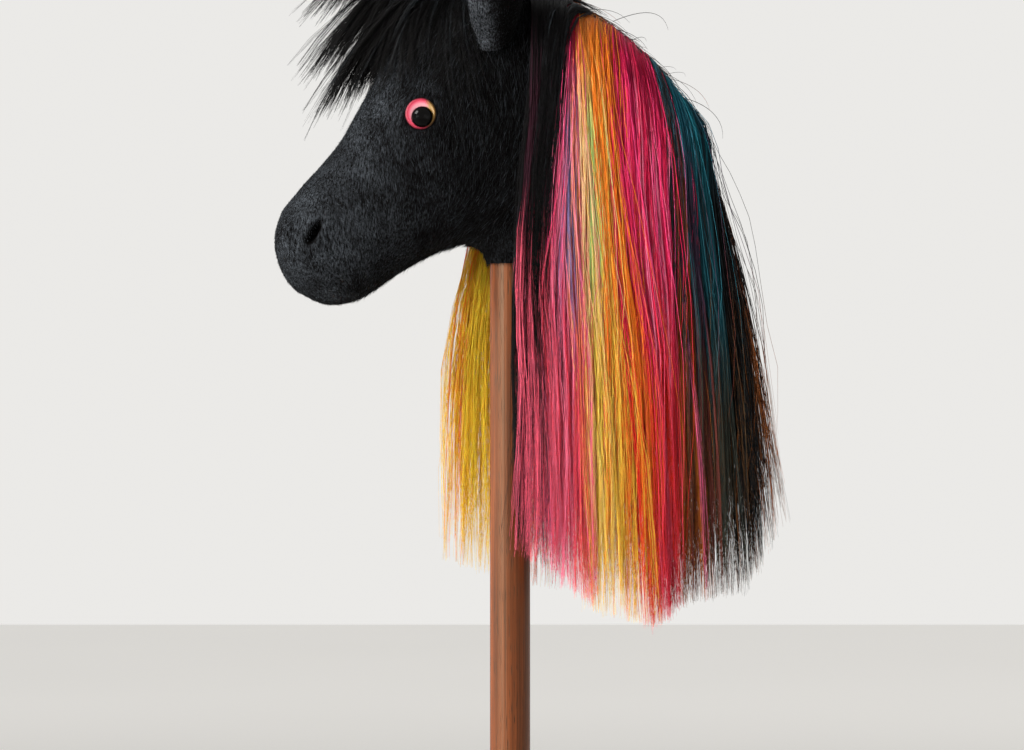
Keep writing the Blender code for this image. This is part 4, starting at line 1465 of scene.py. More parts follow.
@dataclass
class Guides:
    """The curves that the strands of one lock gather round."""

    places: list[np.ndarray] = field(default_factory=list)
    strands: list[int] = field(default_factory=list)
    clumps: list[np.ndarray] = field(default_factory=list)
    dyes: list[float] = field(default_factory=list)

    def add(
        self,
        places: np.ndarray,
        strands: int,
        clump: np.ndarray,
        dye: Dye,
        rng: np.random.Generator,
    ) -> None:
        """Adds one guide, whose dye takes a little more or less than its neighbours'.

        Args:
            places: (points, 3) places from root to tip.
            strands: How many strands gather round it.
            clump: How far they stand off it, at each place.
            dye: Their colour.
            rng: For its random draw.
        """
        self.places.append(places)
        self.strands.append(strands)
        self.clumps.append(clump)
        self.dyes.append(dye.place + rng.uniform(-0.008, 0.008))

    def as_object(self, name: str) -> Object:
        """The guides as a mesh of edges with attributes.

        Args:
            name: The object's name.

        Returns:
            The new object.
        """
        sizes = [len(p) for p in self.places]
        starts = np.cumsum([0, *sizes[:-1]])
        edges = [(s + i, s + i + 1) for s, n in zip(starts, sizes) for i in range(n - 1)]
        mesh = bpy.data.meshes.new(name)
        mesh.from_pydata([tuple(p) for p in np.concatenate(self.places)], edges, [])
        shares = [np.linspace(0, 1, n) for n in sizes]
        for label, values in (
            ("strands", np.repeat(self.strands, sizes)),
            ("dye", np.repeat(self.dyes, sizes)),
            ("clump", np.concatenate(self.clumps)),
            ("along", np.concatenate(shares)),
        ):
            attribute = mesh.attributes.new(label, "FLOAT", "POINT")
            attribute.data.foreach_set("value", np.asarray(values, np.float32))
        return placed(name, mesh)


# Sub-assemblies


@dataclass
class Stick:
    """The turned stick, the peg through its end and the foam cap on it."""

    def build(self) -> None:
        """Stains the stick and the peg, and replaces the foam cap with a finer one."""
        self.dress_node("stick", STICK_WOOD)
        self.dress_node("head_peg", PEG_WOOD)
        cap = refined_copy("stick_pad", "foam_cap", FOAM, 0.12 * MM, 1)
        settle(cap, ROOT, FOAM, "stick_pad")

    @staticmethod
    def dress_node(node: str, finish: Finish) -> None:
        """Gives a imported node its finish.

        Args:
            node: The node's name.
            finish: Its finish.
        """
        made = frame["nodes"][node]
        for slot in made.material_slots:
            slot.material = finish.material()
        LOG.info("%s: dressed", node)


@dataclass
class Eyes:
    """The two eyes: a dished coloured ring, a polished button and its lock."""

    def build(self) -> None:
        """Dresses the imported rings, buttons and locks."""
        for side in Side:
            low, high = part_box(f"{side.word}_eye_washer")
            middle = tuple((a + b) / 2 for a, b in zip(low, high))
            ring = Iris(f"{side.word}_iris", "iris", 0.42, 0.5, middle=middle)
            Stick.dress_node(f"{side.word}_eye_washer", ring)
            Stick.dress_node(f"{side.word}_eye_button", PUPIL)
            Stick.dress_node(f"{side.word}_eye_lock", LOCK_PLASTIC)


@dataclass
class FeltHead:
    """The stuffed head: two felt halves with their fibres, over the wadding."""

    skin: HeadSkin
    thickness: float = 2.2 * MM
    seam_gap: float = 0.15 * MM
    seam_depth: float = 0.7 * MM
    seam_width: float = 1.6 * MM
    lumps: tuple = ((0.45 * MM, 46 * MM, 5), (0.16 * MM, 15 * MM, 6))  # height, length and seed
    eye_at: tuple = (-54.6, 90.8)
    eye_radius: float = 10.0 * MM
    eye_floor: float = 1.9 * MM
    # How high, how far from the eye's middle and how wide the swelling and the hollow round it are
    eye_rings: tuple = ((0.9 * MM, 13.2 * MM, 3.0 * MM), (-0.9 * MM, 24.0 * MM, 7.0 * MM))
    nostril_depth: float = 6.2 * MM
    nostril_length: float = 6.9 * MM
    nostril_width: float = 2.4 * MM
    press_size: tuple = (13 * MM, 9 * MM)  # of the wadding's dent behind the nostril
    press_depth: float = 7.13 * MM
    press_from: float = 6 * MM  # from the middle line; the other side's dent stays out
    lips: tuple = (0.7 * MM, 9 * MM, 5.4 * MM, 2.4 * MM)  # height, length, from the slit, width
    pleats: int = 22  # round the hem
    pleat_depth: float = 0.5 * MM
    hem_rise: float = 9 * MM  # how far up the pleats go
    hem_reach: float = 26 * MM  # how far from the stick
    fibres: int = 35000  # on each half
    bare: tuple = (7.4 * MM, 2.45 * MM)  # half the length and width of the slit without wool
    hidden: tuple = (25 * MM, 30 * MM)  # x where the mane starts to hide the wool, and how fast
    hidden_share: float = 0.75  # how much less wool there is there
    stroke_blur: float = 9 * MM  # how smoothly one stroke turns into the next
    # The way that the wool lies: x and z from the axis and the hem, the stroke's x and z, its
    # length in mm, and how pale it is, which is painted light: palest on the lit muzzle, darkest
    # under the jaw
    strokes: tuple = (
        (-140.3, 18.1, 0.1, -1.0, 1.5, 0.85),
        (-130.9, -10.0, 0.8, -0.6, 1.8, 0.8),
        (-124.7, 43.0, 0.9, 0.2, 1.5, 0.88),
        (-109.1, 24.3, 0.7, -0.7, 1.9, 0.85),
        (-100.0, 62.0, 0.8, -0.3, 1.6, 0.88),
        (-84.2, 35.5, 0.3, -1.0, 3.4, 0.7),
        (-54.9, 41.1, -0.2, -1.0, 5.2, 0.5),
        (-58.0, 66.0, 0.2, -1.0, 3.6, 0.62),
        (-81.0, 98.0, -0.3, -1.0, 2.2, 0.8),
        (-32.0, 83.5, -0.12, -1.0, 9.5, 0.55),
        (-14.0, 60.0, -0.4, -1.0, 9.0, 0.45),
        (-18.7, 30.5, -0.8, -0.8, 7.0, 0.4),
        (-68.6, 2.5, -0.7, -0.5, 4.4, 0.35),
        (-40.0, 130.0, -0.35, -0.95, 9.0, 0.5),
        (0.0, 110.0, -0.1, -1.0, 11.0, 0.48),
        (40.0, 100.0, -0.2, -1.0, 6.0, 0.4),
        (80.0, 60.0, 0.0, -1.0, 6.0, 0.4),
        (0.0, 8.0, 0.0, -1.0, 3.0, 0.3),
    )

    def build(self) -> None:
        """Builds the wadding, then each felt half with its fibres."""
        wadding = refined_copy("head_stuffing", "head_wadding", WADDING, 0.35 * MM, 1)
        self.press_in(wadding)
        settle(wadding, ROOT, WADDING, "head_stuffing")
        tree = nap_tree()
        for side in Side:
            patch = self.half(side)
            word = side.word
            depth = patch.normals * self.thickness
            inner_pole = patch.pole - NOSE_FORWARD * self.thickness
            pole = (patch.pole, inner_pole)
            cover = closed_shell(f"{word}_felt", patch.places, patch.places - depth, FELT, pole)
            settle(cover, ROOT, FELT, f"{word}_side_cover")
            patch.grow_nap(f"{word}_nap", tree, self.fibres, 0.2, 0.34, 11 + side.value)

    def press_in(self, wadding: Object) -> None:
        """Presses the wadding in behind the nostrils, so that the dented felt covers it.

        Args:
            wadding: The stuffing.
        """
        mesh = wadding.data
        places = read(mesh)
        for side in Side:
            along, across = self.nostril_axes(places, side)
            length, width = self.press_size
            dent = np.exp(-((along / length) ** 4) - (across / width) ** 2)
            dent *= places[:, 1] * side.value > self.press_from
            places[:, 1] -= side.value * self.press_depth * dent
        mesh.vertices.foreach_set("co", places.ravel())
        mesh.update()

    def half(self, side: Side) -> SkinPatch:
        """One half's outside, with its dents and the way its wool lies.

        Args:
            side: Which half.

        Returns:
            The patch, from the seam under the head to the seam on top.
        """
        middle = self.skin.points // 2
        order = list(range(middle + 1))
        if side is Side.FAR:
            order = [0, *range(self.skin.points - 1, middle - 1, -1)]
        places = self.skin.places[:, order]
        normals = self.skin.normals[:, order]
        flat, outward = places.reshape(-1, 3), normals.reshape(-1, 3)
        moved = flat + outward * self.relief(flat, side)[:, None]
        gap = side.value * self.seam_gap
        moved = moved.reshape(places.shape)
        moved[:, (0, -1), 1] = gap
        strokes, reach, pale = self.lay(flat, outward)
        cover = self.covering(flat, side)
        pole = self.skin.tip + (0, gap, 0)
        return SkinPatch(moved, normals, strokes, reach, cover, pale, pole)

    def relief(self, places: np.ndarray, side: Side) -> np.ndarray:
        """How far the felt stands out from the plain skin: lumps, seam, eye, nostril and hem.

        Args:
            places: (points, 3) places on the skin.
            side: Which half they are on.

        Returns:
            One height for each place.
        """
        height = sum(rise * waves(places, length, seed) for rise, length, seed in self.lumps)
        height -= self.seam_depth * np.exp(-((places[:, 1] / self.seam_width) ** 2))
        x, _, z = in_head(self.eye_at[0], 0, self.eye_at[1])
        seat, facing = self.skin.side_point(x, z, side)
        from_seat = places - seat
        level = from_seat @ facing
        out = np.linalg.norm(from_seat - level[:, None] * facing, axis=1)
        floor = np.clip((self.eye_radius + 0.8 * MM - out) / (1.0 * MM), 0, 1)
        for rise, middle, width in self.eye_rings:
            height = height + rise * np.exp(-(((out - middle) / width) ** 2))
        height = (1 - floor) * height - floor * (self.eye_floor + level)
        along, across = self.nostril_axes(places, side)
        slit = np.exp(-((along / self.nostril_length) ** 4) - (across / self.nostril_width) ** 4)
        lip_height, lip_length, lip_at, lip_width = self.lips
        lips = np.exp(-((along / lip_length) ** 2))
        lips *= sum(np.exp(-(((across + s * lip_at) / lip_width) ** 2)) for s in (-1, 1))
        height += lip_height * lips - self.nostril_depth * slit
        low = np.clip(1 - (places[:, 2] - HEM_HEIGHT) / self.hem_rise, 0, 1)
        near_stick = np.exp(-((np.hypot(places[:, 0], places[:, 1]) / self.hem_reach) ** 4))
        pleats = np.cos(self.pleats * np.arctan2(places[:, 1], places[:, 0]))
        return height + self.pleat_depth / 2 * (pleats - 1) * low * near_stick

    def nostril_axes(self, places: np.ndarray, side: Side) -> tuple[np.ndarray, np.ndarray]:
        """Each place's distance along and across the nostril's slit.

        Args:
            places: (points, 3) places on the skin.
            side: Which half they are on.

        Returns:
            Two arrays of distances in metres.
        """
        middle, facing = self.skin.side_point(*NOSTRIL_IN[:2], side)
        slope = np.array((math.cos(NOSTRIL_TILT), 0.0, math.sin(NOSTRIL_TILT)))
        slope = unit(slope - facing * (slope @ facing))
        across = np.cross(slope, facing)
        offset = places - middle
        return offset @ slope, offset @ across

    def lay(self, places: np.ndarray, normals: np.ndarray) -> tuple[np.ndarray, ...]:
        """The way that the wool lies at each place, its length and its paleness, which is painted
        light.

        Args:
            places: (points, 3) places on the skin.
            normals: Their outward directions.

        Returns:
            Unit strokes along the skin, lengths in metres, and paleness from 0 to 1 as painted
            light.
        """
        table = np.array(self.strokes)
        spots = np.stack((table[:, 0] * MM, HEM_HEIGHT + table[:, 1] * MM), 1)
        gaps = np.linalg.norm(places[:, None, (0, 2)] - spots[None], axis=-1)
        weights = 1 / (gaps**2 + self.stroke_blur**2) ** 1.5
        weights /= weights.sum(1, keepdims=True)
        way = weights @ table[:, 2:4]
        strokes = np.stack((way[:, 0], np.zeros(len(way)), way[:, 1]), 1)
        strokes -= normals * np.einsum("ij,ij->i", strokes, normals)[:, None]
        return unit(strokes), weights @ table[:, 4] * MM, weights @ table[:, 5]

    def covering(self, places: np.ndarray, side: Side) -> np.ndarray:
        """How much wool each place has: none under the eye, little where the mane hides it.

        Args:
            places: Places on the skin.
            side: Which half they are on.

        Returns:
            A share for each place, from 0 to 1.
        """
        x, _, z = in_head(self.eye_at[0], 0, self.eye_at[1])
        seat, _ = self.skin.side_point(x, z, side)
        out = np.linalg.norm(places - seat, axis=1)
        cover = np.clip((out - self.eye_radius) / (1.5 * MM), 0, 1)
        along, across = self.nostril_axes(places, side)
        from_slit = np.hypot(along / self.bare[0], across / self.bare[1])
        cover *= np.clip((from_slit - 0.7) / 0.6, 0, 1)
        hidden = np.clip((places[:, 0] - self.hidden[0]) / self.hidden[1], 0, 1)
        return cover * (1 - self.hidden_share * hidden)


@dataclass
class Ears:
    """Two curled felt ears with a paler lining."""

    skin: HeadSkin
    base: tuple = (-9.0, 33.8, 131.0)
    length: float = 88.0 * MM
    up: tuple = (-0.10, 0.20, 0.97)
    opening: tuple = (-0.88, 0.47, 0.0)
    lean: float = 9.0 * MM
    wall: float = 1.8 * MM
    lining_wall: float = 1.0 * MM
    lining_gap: float = 0.6 * MM
    lining_share: float = 0.93
    rows: int = 34
    columns: int = 36
    fibres: int = 5000
    fibre_length: float = 2.2 * MM
    pale_from: tuple = (-6 * MM, 14 * MM)  # painted light: x where the back starts to grow pale, and how fast
    # Share of the length, radius in mm, half angle of the curl and twist outwards in degrees
    outline: tuple = (
        (0.00, 8.6, 128.0, 60.0),
        (0.12, 12.4, 124.0, 60.0),
        (0.25, 17.2, 117.0, 55.0),
        (0.42, 20.5, 110.0, 48.0),
        (0.66, 20.5, 82.0, 30.0),
        (0.85, 18.5, 42.0, 10.0),
        (1.00, 16.0, 6.0, 0.0),
    )

    def build(self) -> None:
        """Builds the back, the lining and the fibres of each ear."""
        tree = bpy.data.node_groups["nap"]
        for side in Side:
            word = side.word
            outer, away = self.leaf(side, 0.0, 1.0)
            back = closed_shell(f"{word}_ear_felt", outer, outer - away * self.wall, EAR_FELT)
            settle(back, ROOT, EAR_FELT, f"{word}_ear_back")
            inset = self.wall + self.lining_gap
            face, face_away = self.leaf(side, inset, self.lining_share)
            inner = face - face_away * self.lining_wall
            lining = closed_shell(f"{word}_ear_inside", face, inner, LINING)
            settle(lining, ROOT, LINING, f"{word}_ear_lining")
            for label, places, normals in (("back", outer, away), ("inside", inner, -face_away)):
                strokes = np.gradient(places, axis=0).reshape(-1, 3)
                count = len(strokes)
                reach = np.full(count, self.fibre_length)
                # Painted light: the back grows pale towards its front edge, where the key light
                # falls; the inside is evenly pale.
                start, run = self.pale_from
                forward = np.clip((start - places[..., 0].ravel()) / run, 0, 1)
                pale = 0.35 + 0.6 * forward if label == "back" else np.full(count, 0.7)
                patch = SkinPatch(places, normals, unit(strokes), reach, np.ones(count), pale)
                name = f"{word}_ear_{label}_nap"
                patch.grow_nap(name, tree, self.fibres, 0.3, 0.5, 31 + side.value)

    def leaf(self, side: Side, inset: float, share: float) -> tuple[np.ndarray, np.ndarray]:
        """One surface of an ear, from where it leaves the head to its tip.

        Args:
            side: Which ear.
            inset: How far inside the outer face it lies.
            share: How much of the length and the curl it has.

        Returns:
            Places and outward directions, (rows, columns, 3) each.
        """
        mirror = np.array((1.0, side.value, 1.0))
        up = unit(np.array(self.up) * mirror)
        opening = np.array(self.opening) * mirror
        opening = unit(opening - up * (opening @ up))
        across = np.cross(up, opening)
        base = in_head(*self.base) * (1, side.value, 1)
        table = np.array(self.outline)

        def at(length: float, turn: float) -> tuple[np.ndarray, np.ndarray]:
            """A place on the leaf.

            Args:
                length: The share of the ear's length.
                turn: The share of the curl, from -1 to 1.

            Returns:
                The place and the direction outwards.
            """
            place = np.interp(length, table[:, 0], np.arange(len(table)))
            radius, curl, twist = smooth_through(table[:, 1:], np.array([place]))[0]
            angle = math.radians(curl * share * turn - side.value * twist)
            away = across * math.sin(angle) - opening * math.cos(angle)
            middle = base + up * self.length * length - opening * self.lean * length**2
            return middle + away * (radius * MM - inset), away

        places = np.empty((self.rows, self.columns + 1, 3))
        normals = np.empty_like(places)
        for j in range(self.columns + 1):
            turn = 2 * j / self.columns - 1
            start = self.leaves_head(lambda length, t=turn: at(length, t)[0])
            for i in range(self.rows):
                length = start + (share - start) * i / (self.rows - 1)
                places[i, j], normals[i, j] = at(length, turn)
        return places, normals

    def leaves_head(self, line: Callable[[float], np.ndarray]) -> float:
        """The share of an ear's length at which a line up it comes out of the felt.

        Args:
            line: Gives the place at a share of the length.

        Returns:
            The share.
        """
        for length in np.arange(0.0, 0.7, 0.01):
            place = line(length)
            near, _, index, _ = self.skin.tree.find_nearest(Vector(place))
            row, column = divmod(index, self.skin.points)
            if (place - np.array(near)) @ self.skin.normals[row, column] > -0.4 * MM:
                return float(length)
        return 0.0


@dataclass
class Sewing:
    """The tapes that the hair is sewn to, the hem's drawcord and the nostril thread."""

    skin: HeadSkin
    tape_gap: float = 0.3 * MM
    tape_wall: float = 1.4 * MM
    half_angle: float = math.tau / 28
    tape_rows: int = 24  # to a station
    tape_columns: int = 13
    cord_turns: int = 34
    cord_points: int = 10  # to a turn
    thread_ply: float = 0.28 * MM
    thread_turns: int = 12
    thread_points: int = 120
    knot_turns: int = 7
    deeper: float = 5.0 * MM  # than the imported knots, as the felt's own dents are
    runs: tuple = (("mane_tape", 7.5, 11.0), ("forelock_tape", 6.5, 7.0))

    def build(self) -> None:
        """Builds the tapes, the cord and the thread."""
        for node, first, last in self.runs:
            rows = round((last - first) * self.tape_rows) + 1
            stations = np.linspace(first, last, rows)
            angles = math.pi + np.linspace(-self.half_angle, self.half_angle, self.tape_columns)
            still = np.zeros(rows)
            places, normals = self.skin.surface(stations, angles, still + 1, still)
            outer = places + normals * (self.tape_gap + self.tape_wall)
            strip = closed_shell(f"sewn_{node}", outer, places + normals * self.tape_gap, TAPE)
            settle(strip, ROOT, TAPE, node)
        self.drawcord()
        self.nostril_thread()

    def drawcord(self) -> None:
        """Lays two twisted plies round the stick inside the hem."""
        low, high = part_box("neck_drawcord")
        ply = (high[2] - low[2]) / 4
        middle_radius = (high[0] - low[0]) / 2 - 2 * ply
        height = (high[2] + low[2]) / 2
        count = self.cord_turns * self.cord_points
        plies = []
        for start in (0.0, math.pi):
            angle = math.tau * np.arange(count) / count
            twist = start + self.cord_turns * angle
            radius = middle_radius + ply * np.cos(twist)
            path = np.stack(
                (radius * np.cos(angle), radius * np.sin(angle), height + ply * np.sin(twist)), 1
            )
            plies.append(swept(path, ply, 8, closed=True))
        made = piece("twisted_drawcord", *merged(plies), THREAD)
        settle(made, ROOT, THREAD, "neck_drawcord")

    def nostril_thread(self) -> None:
        """Runs two twisted plies through the muzzle, with a wound knot at each end."""
        low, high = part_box("nostril_thread")
        x, z = (low[0] + high[0]) / 2, (low[2] + high[2]) / 2
        knot = (high[0] - low[0]) / 2
        ends = (low[1] + knot + self.deeper, high[1] - knot - self.deeper)
        ply = self.thread_ply
        y = np.linspace(ends[0], ends[1], self.thread_points)
        bodies = []
        for start in (0.0, math.pi):
            twist = start + math.tau * self.thread_turns * np.linspace(0, 1, len(y))
            path = np.stack((x + ply * np.cos(twist), y, z + ply * np.sin(twist)), 1)
            bodies.append(swept(path, ply, 8, closed=False))
        for end in ends:
            angle = np.linspace(0, math.tau * self.knot_turns, self.thread_points)
            lean = np.linspace(0.25, math.pi - 0.25, self.thread_points)
            ball = (knot - ply) * np.stack(
                (np.sin(lean) * np.cos(angle), np.cos(lean), np.sin(lean) * np.sin(angle)), 1
            )
            bodies.append(swept(ball + (x, end, z), ply, 6, closed=False))
        made = piece("knotted_nostril_thread", *merged(bodies), THREAD)
        settle(made, ROOT, THREAD, "nostril_thread")


@dataclass(frozen=True)
class Band:
    """A run of a lock's width, up to a share of it, with how often each dye comes in it."""

    until: float
    dyes: dict
    fullness: float = 1.0  # how many strands it has, as a share of the lock's


@dataclass(frozen=True)
class Parting:
    """One edge of a lock: its root on the crest in stations, and the x, z that it runs by in mm."""

    root: float
    line: tuple

    def places(self, crest: np.ndarray) -> np.ndarray:
        """Its root and the places that it runs by."""
        return np.array([crest, *(in_head(x, 0, z) for x, z in self.line)])


@dataclass(frozen=True)
class Crossing:
    """Some guides that cross their neighbours: from one share of the width to another."""

    root: float
    tip: float
    by: float = 1.0  # the share of the length in which they cross
    guides: int = 1


@dataclass(frozen=True)
class Lock:
    """One lock of hair: the node that it stands for, its body, its slot and its dyes."""

    node: str
    body: str
    slot: str
    bands: tuple
    clumps: int = 170
    strands: int = 10
    strays: int = 22
    crossings: tuple = ()
    swept: int = 0  # guides that come from further back on the crest and cover the next roots

    def band(self, share: float) -> Band:
        """The band that lies at a share of the lock's width."""
        return next((band for band in self.bands if share <= band.until), self.bands[-1])

    def dye(self, share: float, rng: np.random.Generator) -> Dye:
        """Draws the dye of a clump that lies at a share of the lock's width.

        Args:
            share: The share of the width, from its front.
            rng: For the draw.

        Returns:
            The dye.
        """
        dyes = self.band(share).dyes
        chances = np.array(list(dyes.values()))
        return list(dyes)[rng.choice(len(chances), p=chances / chances.sum())]


@dataclass
class HairRoom:
    """The space that hair may take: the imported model's box and a little round it."""

    slack: float = 7.0 * MM

    def __post_init__(self) -> None:
        """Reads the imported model's box."""
        low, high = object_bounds()
        self.low = np.array(low) - self.slack
        self.high = np.array(high) + self.slack

    def inside(self, places: np.ndarray) -> np.ndarray:
        """The places, moved into the room where they stand outside it."""
        return np.clip(places, self.low, self.high)


def over_skin(skin: HeadSkin, path: np.ndarray, side: Side, standoff: np.ndarray) -> np.ndarray:
    """Drapes a flat path over one side of the head; below it the hair hangs free.

    Args:
        skin: The head.
        path: (points, 3) places, whose y is replaced.
        side: Which side the hair hangs on.
        standoff: How far it stays from the felt, at each place.

    Returns:
        The draped places.
    """
    relax = 0.05  # how far hanging hair leans back in, to its length
    least = 4.0 * MM  # from the middle line
    out, line = least, []
    for i, place in enumerate(path):
        met, _ = skin.side_point(place[0], place[2], side)
        width = abs(met[1])
        fallen = np.linalg.norm(place - path[i - 1]) if i else 0.0
        out = max(out - relax * fallen, width + standoff[i] if width else 0.0, least)
        line.append(skin.lifted(np.array((place[0], side.value * out, place[2])), standoff[i]))
    line = np.array(line)
    for _ in range(2):
        middle = (line[:-2] + line[2:]) / 2
        bulges = side.value * (middle[:, 1] - line[1:-1, 1]) > 0
        line[1:-1][bulges] = (middle[bulges] + line[1:-1][bulges]) / 2
    return line


def bend(root: np.ndarray, pull: np.ndarray, tip: np.ndarray, t: np.ndarray) -> np.ndarray:
    """Places along a quadratic curve."""
    t = t[:, None]
    return root * (1 - t) ** 2 + pull * 2 * t * (1 - t) + tip * t * t


@dataclass
class Mane:
    """The mane: locks of dyed hair that hang from the crest, in two flaps on each side."""

    skin: HeadSkin
    room: HairRoom
    tree: NodeTree
    points: int = 13  # on each guide
    crowding: float = 1.6  # more than 1 puts a guide's points closer together near its root
    standoff: float = 7.5 * MM
    half_thickness: float = 4.3 * MM
    bend_over: float = 36.0 * MM
    crossed: float = 0.1  # the share of its clumps that cross their neighbours
    drifts: tuple = (0.08, 0.25)  # how far a clump's tip strays, and a crossing one's, in widths
    longest: float = 1.04  # the longest clump, to the lock's own length
    shorter: float = 0.16  # how much shorter the shortest is
    sway: tuple = (1.0, 5.5)  # in mm
    crossing_shares: tuple = (-0.15, 0.15)  # either side of a crossing's own place
    crossing_depths: tuple = (0.9, 1.3)
    crossing_sway: float = 4 * MM
    swept_shares: tuple = (0.35, 1.1)  # where swept guides hang, in shares of the lock's width
    swept_back: tuple = (0.05, 0.62)  # how far behind that their roots are, in stations
    swept_depths: tuple = (0.8, 1.4)
    swept_lengths: tuple = (0.35, 0.75)
    swept_sway: float = 3 * MM
    swept_pale: float = 0.12  # the share of them whose grey strands are painted highlights, not black
    swept_strands: int = 8
    stray_lengths: tuple = (0.75, 1.12)
    stray_sway: tuple = (3, 9)  # in mm
    stray_bow: float = 5.0 * MM  # how far they bow out, on average
    gathered: float = 0.06  # the share of its length in which a guide leaves its root's own place
    sways: tuple = (5.0, 13.0)  # radians over its length, of its slow wave and of its quick one
    near_partings: tuple = (
        Parting(7.50, ((13.0, 127.0), (5.0, 7.5), (6.0, -83.0), (4.0, -176.0))),
        Parting(8.00, ((31.0, 127.0), (21.0, 7.5), (26.0, -83.0), (28.0, -192.0))),
        Parting(8.32, ((41.0, 127.0), (46.0, 7.5), (49.0, -83.0), (52.0, -215.0))),
        Parting(8.82, ((62.5, 127.0), (70.0, 7.5), (83.5, -83.0), (90.0, -225.0))),
        Parting(9.55, ((95.0, 86.0), (98.5, 7.5), (99.0, -83.0), (104.0, -212.0))),
        Parting(10.30, ((117.0, 75.0), (126.0, 7.5), (138.0, -83.0), (143.0, -205.0))),
        Parting(10.90, ((130.0, 40.0), (140.0, 7.5), (158.0, -83.0), (171.0, -160.0))),
    )
    # The grey-blue strands in the black locks are painted highlights.
    near_locks: tuple = (
        Lock("near_tress_black_front", "near_mane_front", "black_hair", (
            Band(0.2, {Dye.BLACK: 0.54, Dye.SMOKE: 0.1, Dye.BLACK_TO_PINK: 0.36}),
            Band(0.6, {Dye.BLACK: 0.3, Dye.SMOKE: 0.08, Dye.BLACK_TO_PINK: 0.62}),
            Band(1.0, {Dye.BLACK_TO_PINK: 0.82, Dye.BLACK: 0.14, Dye.MAUVE: 0.04}),
        ), swept=60),
        Lock("near_tress_pink", "near_mane_front", "pink_hair", (
            Band(0.5, {Dye.PINK: 0.8, Dye.HOT_PINK: 0.2}),
            Band(0.64, {Dye.CRIMSON_TO_VIOLET: 0.75, Dye.PINK: 0.25}),
            Band(0.88, {Dye.PINK: 0.45, Dye.HOT_PINK: 0.2, Dye.SALMON: 0.35}),
            Band(1.0, {
                Dye.ORANGE_TO_CREAM: 0.35, Dye.GOLD: 0.25, Dye.ORANGE: 0.2, Dye.SALMON: 0.2,
            }),
        ), crossings=(Crossing(0.15, -0.25, 1.0, 10), Crossing(0.5, 0.0, 0.9, 8))),
        Lock("near_tress_orange", "near_mane_front", "orange_hair", (
            Band(0.14, {Dye.ORANGE_TO_CREAM: 0.55, Dye.GOLD: 0.25, Dye.ORANGE: 0.2}),
            Band(0.34, {Dye.ORANGE_TO_GREEN: 0.8, Dye.ORANGE_TO_CREAM: 0.2}),
            Band(0.62, {Dye.GOLD: 0.46, Dye.ORANGE: 0.4, Dye.ORANGE_TO_CREAM: 0.14}),
            Band(0.8, {Dye.ORANGE: 0.5, Dye.GOLD: 0.38, Dye.CRIMSON: 0.12}),
            Band(1.0, {Dye.ORANGE: 0.42, Dye.CRIMSON: 0.46, Dye.GOLD: 0.12}),
        ), crossings=(Crossing(0.3, 0.7, 0.9, 8), Crossing(0.9, 0.4, 0.9, 8))),
        Lock("near_tress_magenta", "near_mane_back", "magenta_hair", (
            Band(0.25, {Dye.CRIMSON: 0.5, Dye.HOT_PINK: 0.42, Dye.ORANGE: 0.08}),
            Band(0.8, {Dye.CRIMSON: 0.32, Dye.HOT_PINK: 0.46, Dye.PINK: 0.22}),
            Band(1.0, {Dye.CRIMSON: 0.5, Dye.HOT_PINK: 0.3, Dye.PINK: 0.12, Dye.BROWN: 0.08}),
        ), crossings=(Crossing(0.9, 1.5, 0.14, 5), Crossing(0.9, 1.1, 0.8, 6))),
        Lock("near_tress_teal", "near_mane_back", "teal_hair", (
            Band(0.34, {Dye.NAVY: 0.2, Dye.BROWN: 0.5, Dye.CHARCOAL: 0.2, Dye.MAUVE: 0.1}),
            Band(0.62, {Dye.NAVY: 0.55, Dye.CHARCOAL: 0.2, Dye.BROWN: 0.1, Dye.TEAL: 0.15}),
            Band(0.88, {Dye.TEAL: 0.62, Dye.CHARCOAL: 0.16, Dye.NAVY: 0.1, Dye.BROWN: 0.12}),
            Band(1.0, {Dye.CHARCOAL: 0.55, Dye.BLACK: 0.3, Dye.TEAL: 0.15}),
        )),
        Lock("near_tress_black_back", "near_mane_back", "black_hair", (
            Band(0.45, {Dye.BLACK: 0.6, Dye.CHARCOAL: 0.12, Dye.SMOKE: 0.16, Dye.SABLE: 0.12}),
            Band(0.72, {Dye.BLACK: 0.55, Dye.SABLE: 0.35, Dye.BROWN: 0.1}, 0.5),
            Band(1.0, {Dye.SABLE: 0.6, Dye.BLACK: 0.3, Dye.BROWN: 0.1}, 0.22),
        ), strays=24),
    )
    far_partings: tuple = (
        Parting(7.65, ((2.0, 115.0), (-24.0, 10.0), (-37.0, -70.0), (-41.0, -186.0))),
        Parting(8.10, ((22.0, 115.0), (-4.0, 10.0), (-9.0, -70.0), (-9.0, -196.0))),
        Parting(8.75, ((54.0, 115.0), (30.0, 10.0), (24.0, -70.0), (23.0, -203.0))),
        Parting(9.75, ((92.0, 100.0), (78.0, 10.0), (72.0, -70.0), (72.0, -209.0))),
        Parting(10.80, ((122.0, 60.0), (130.0, 10.0), (134.0, -70.0), (134.0, -198.0))),
    )
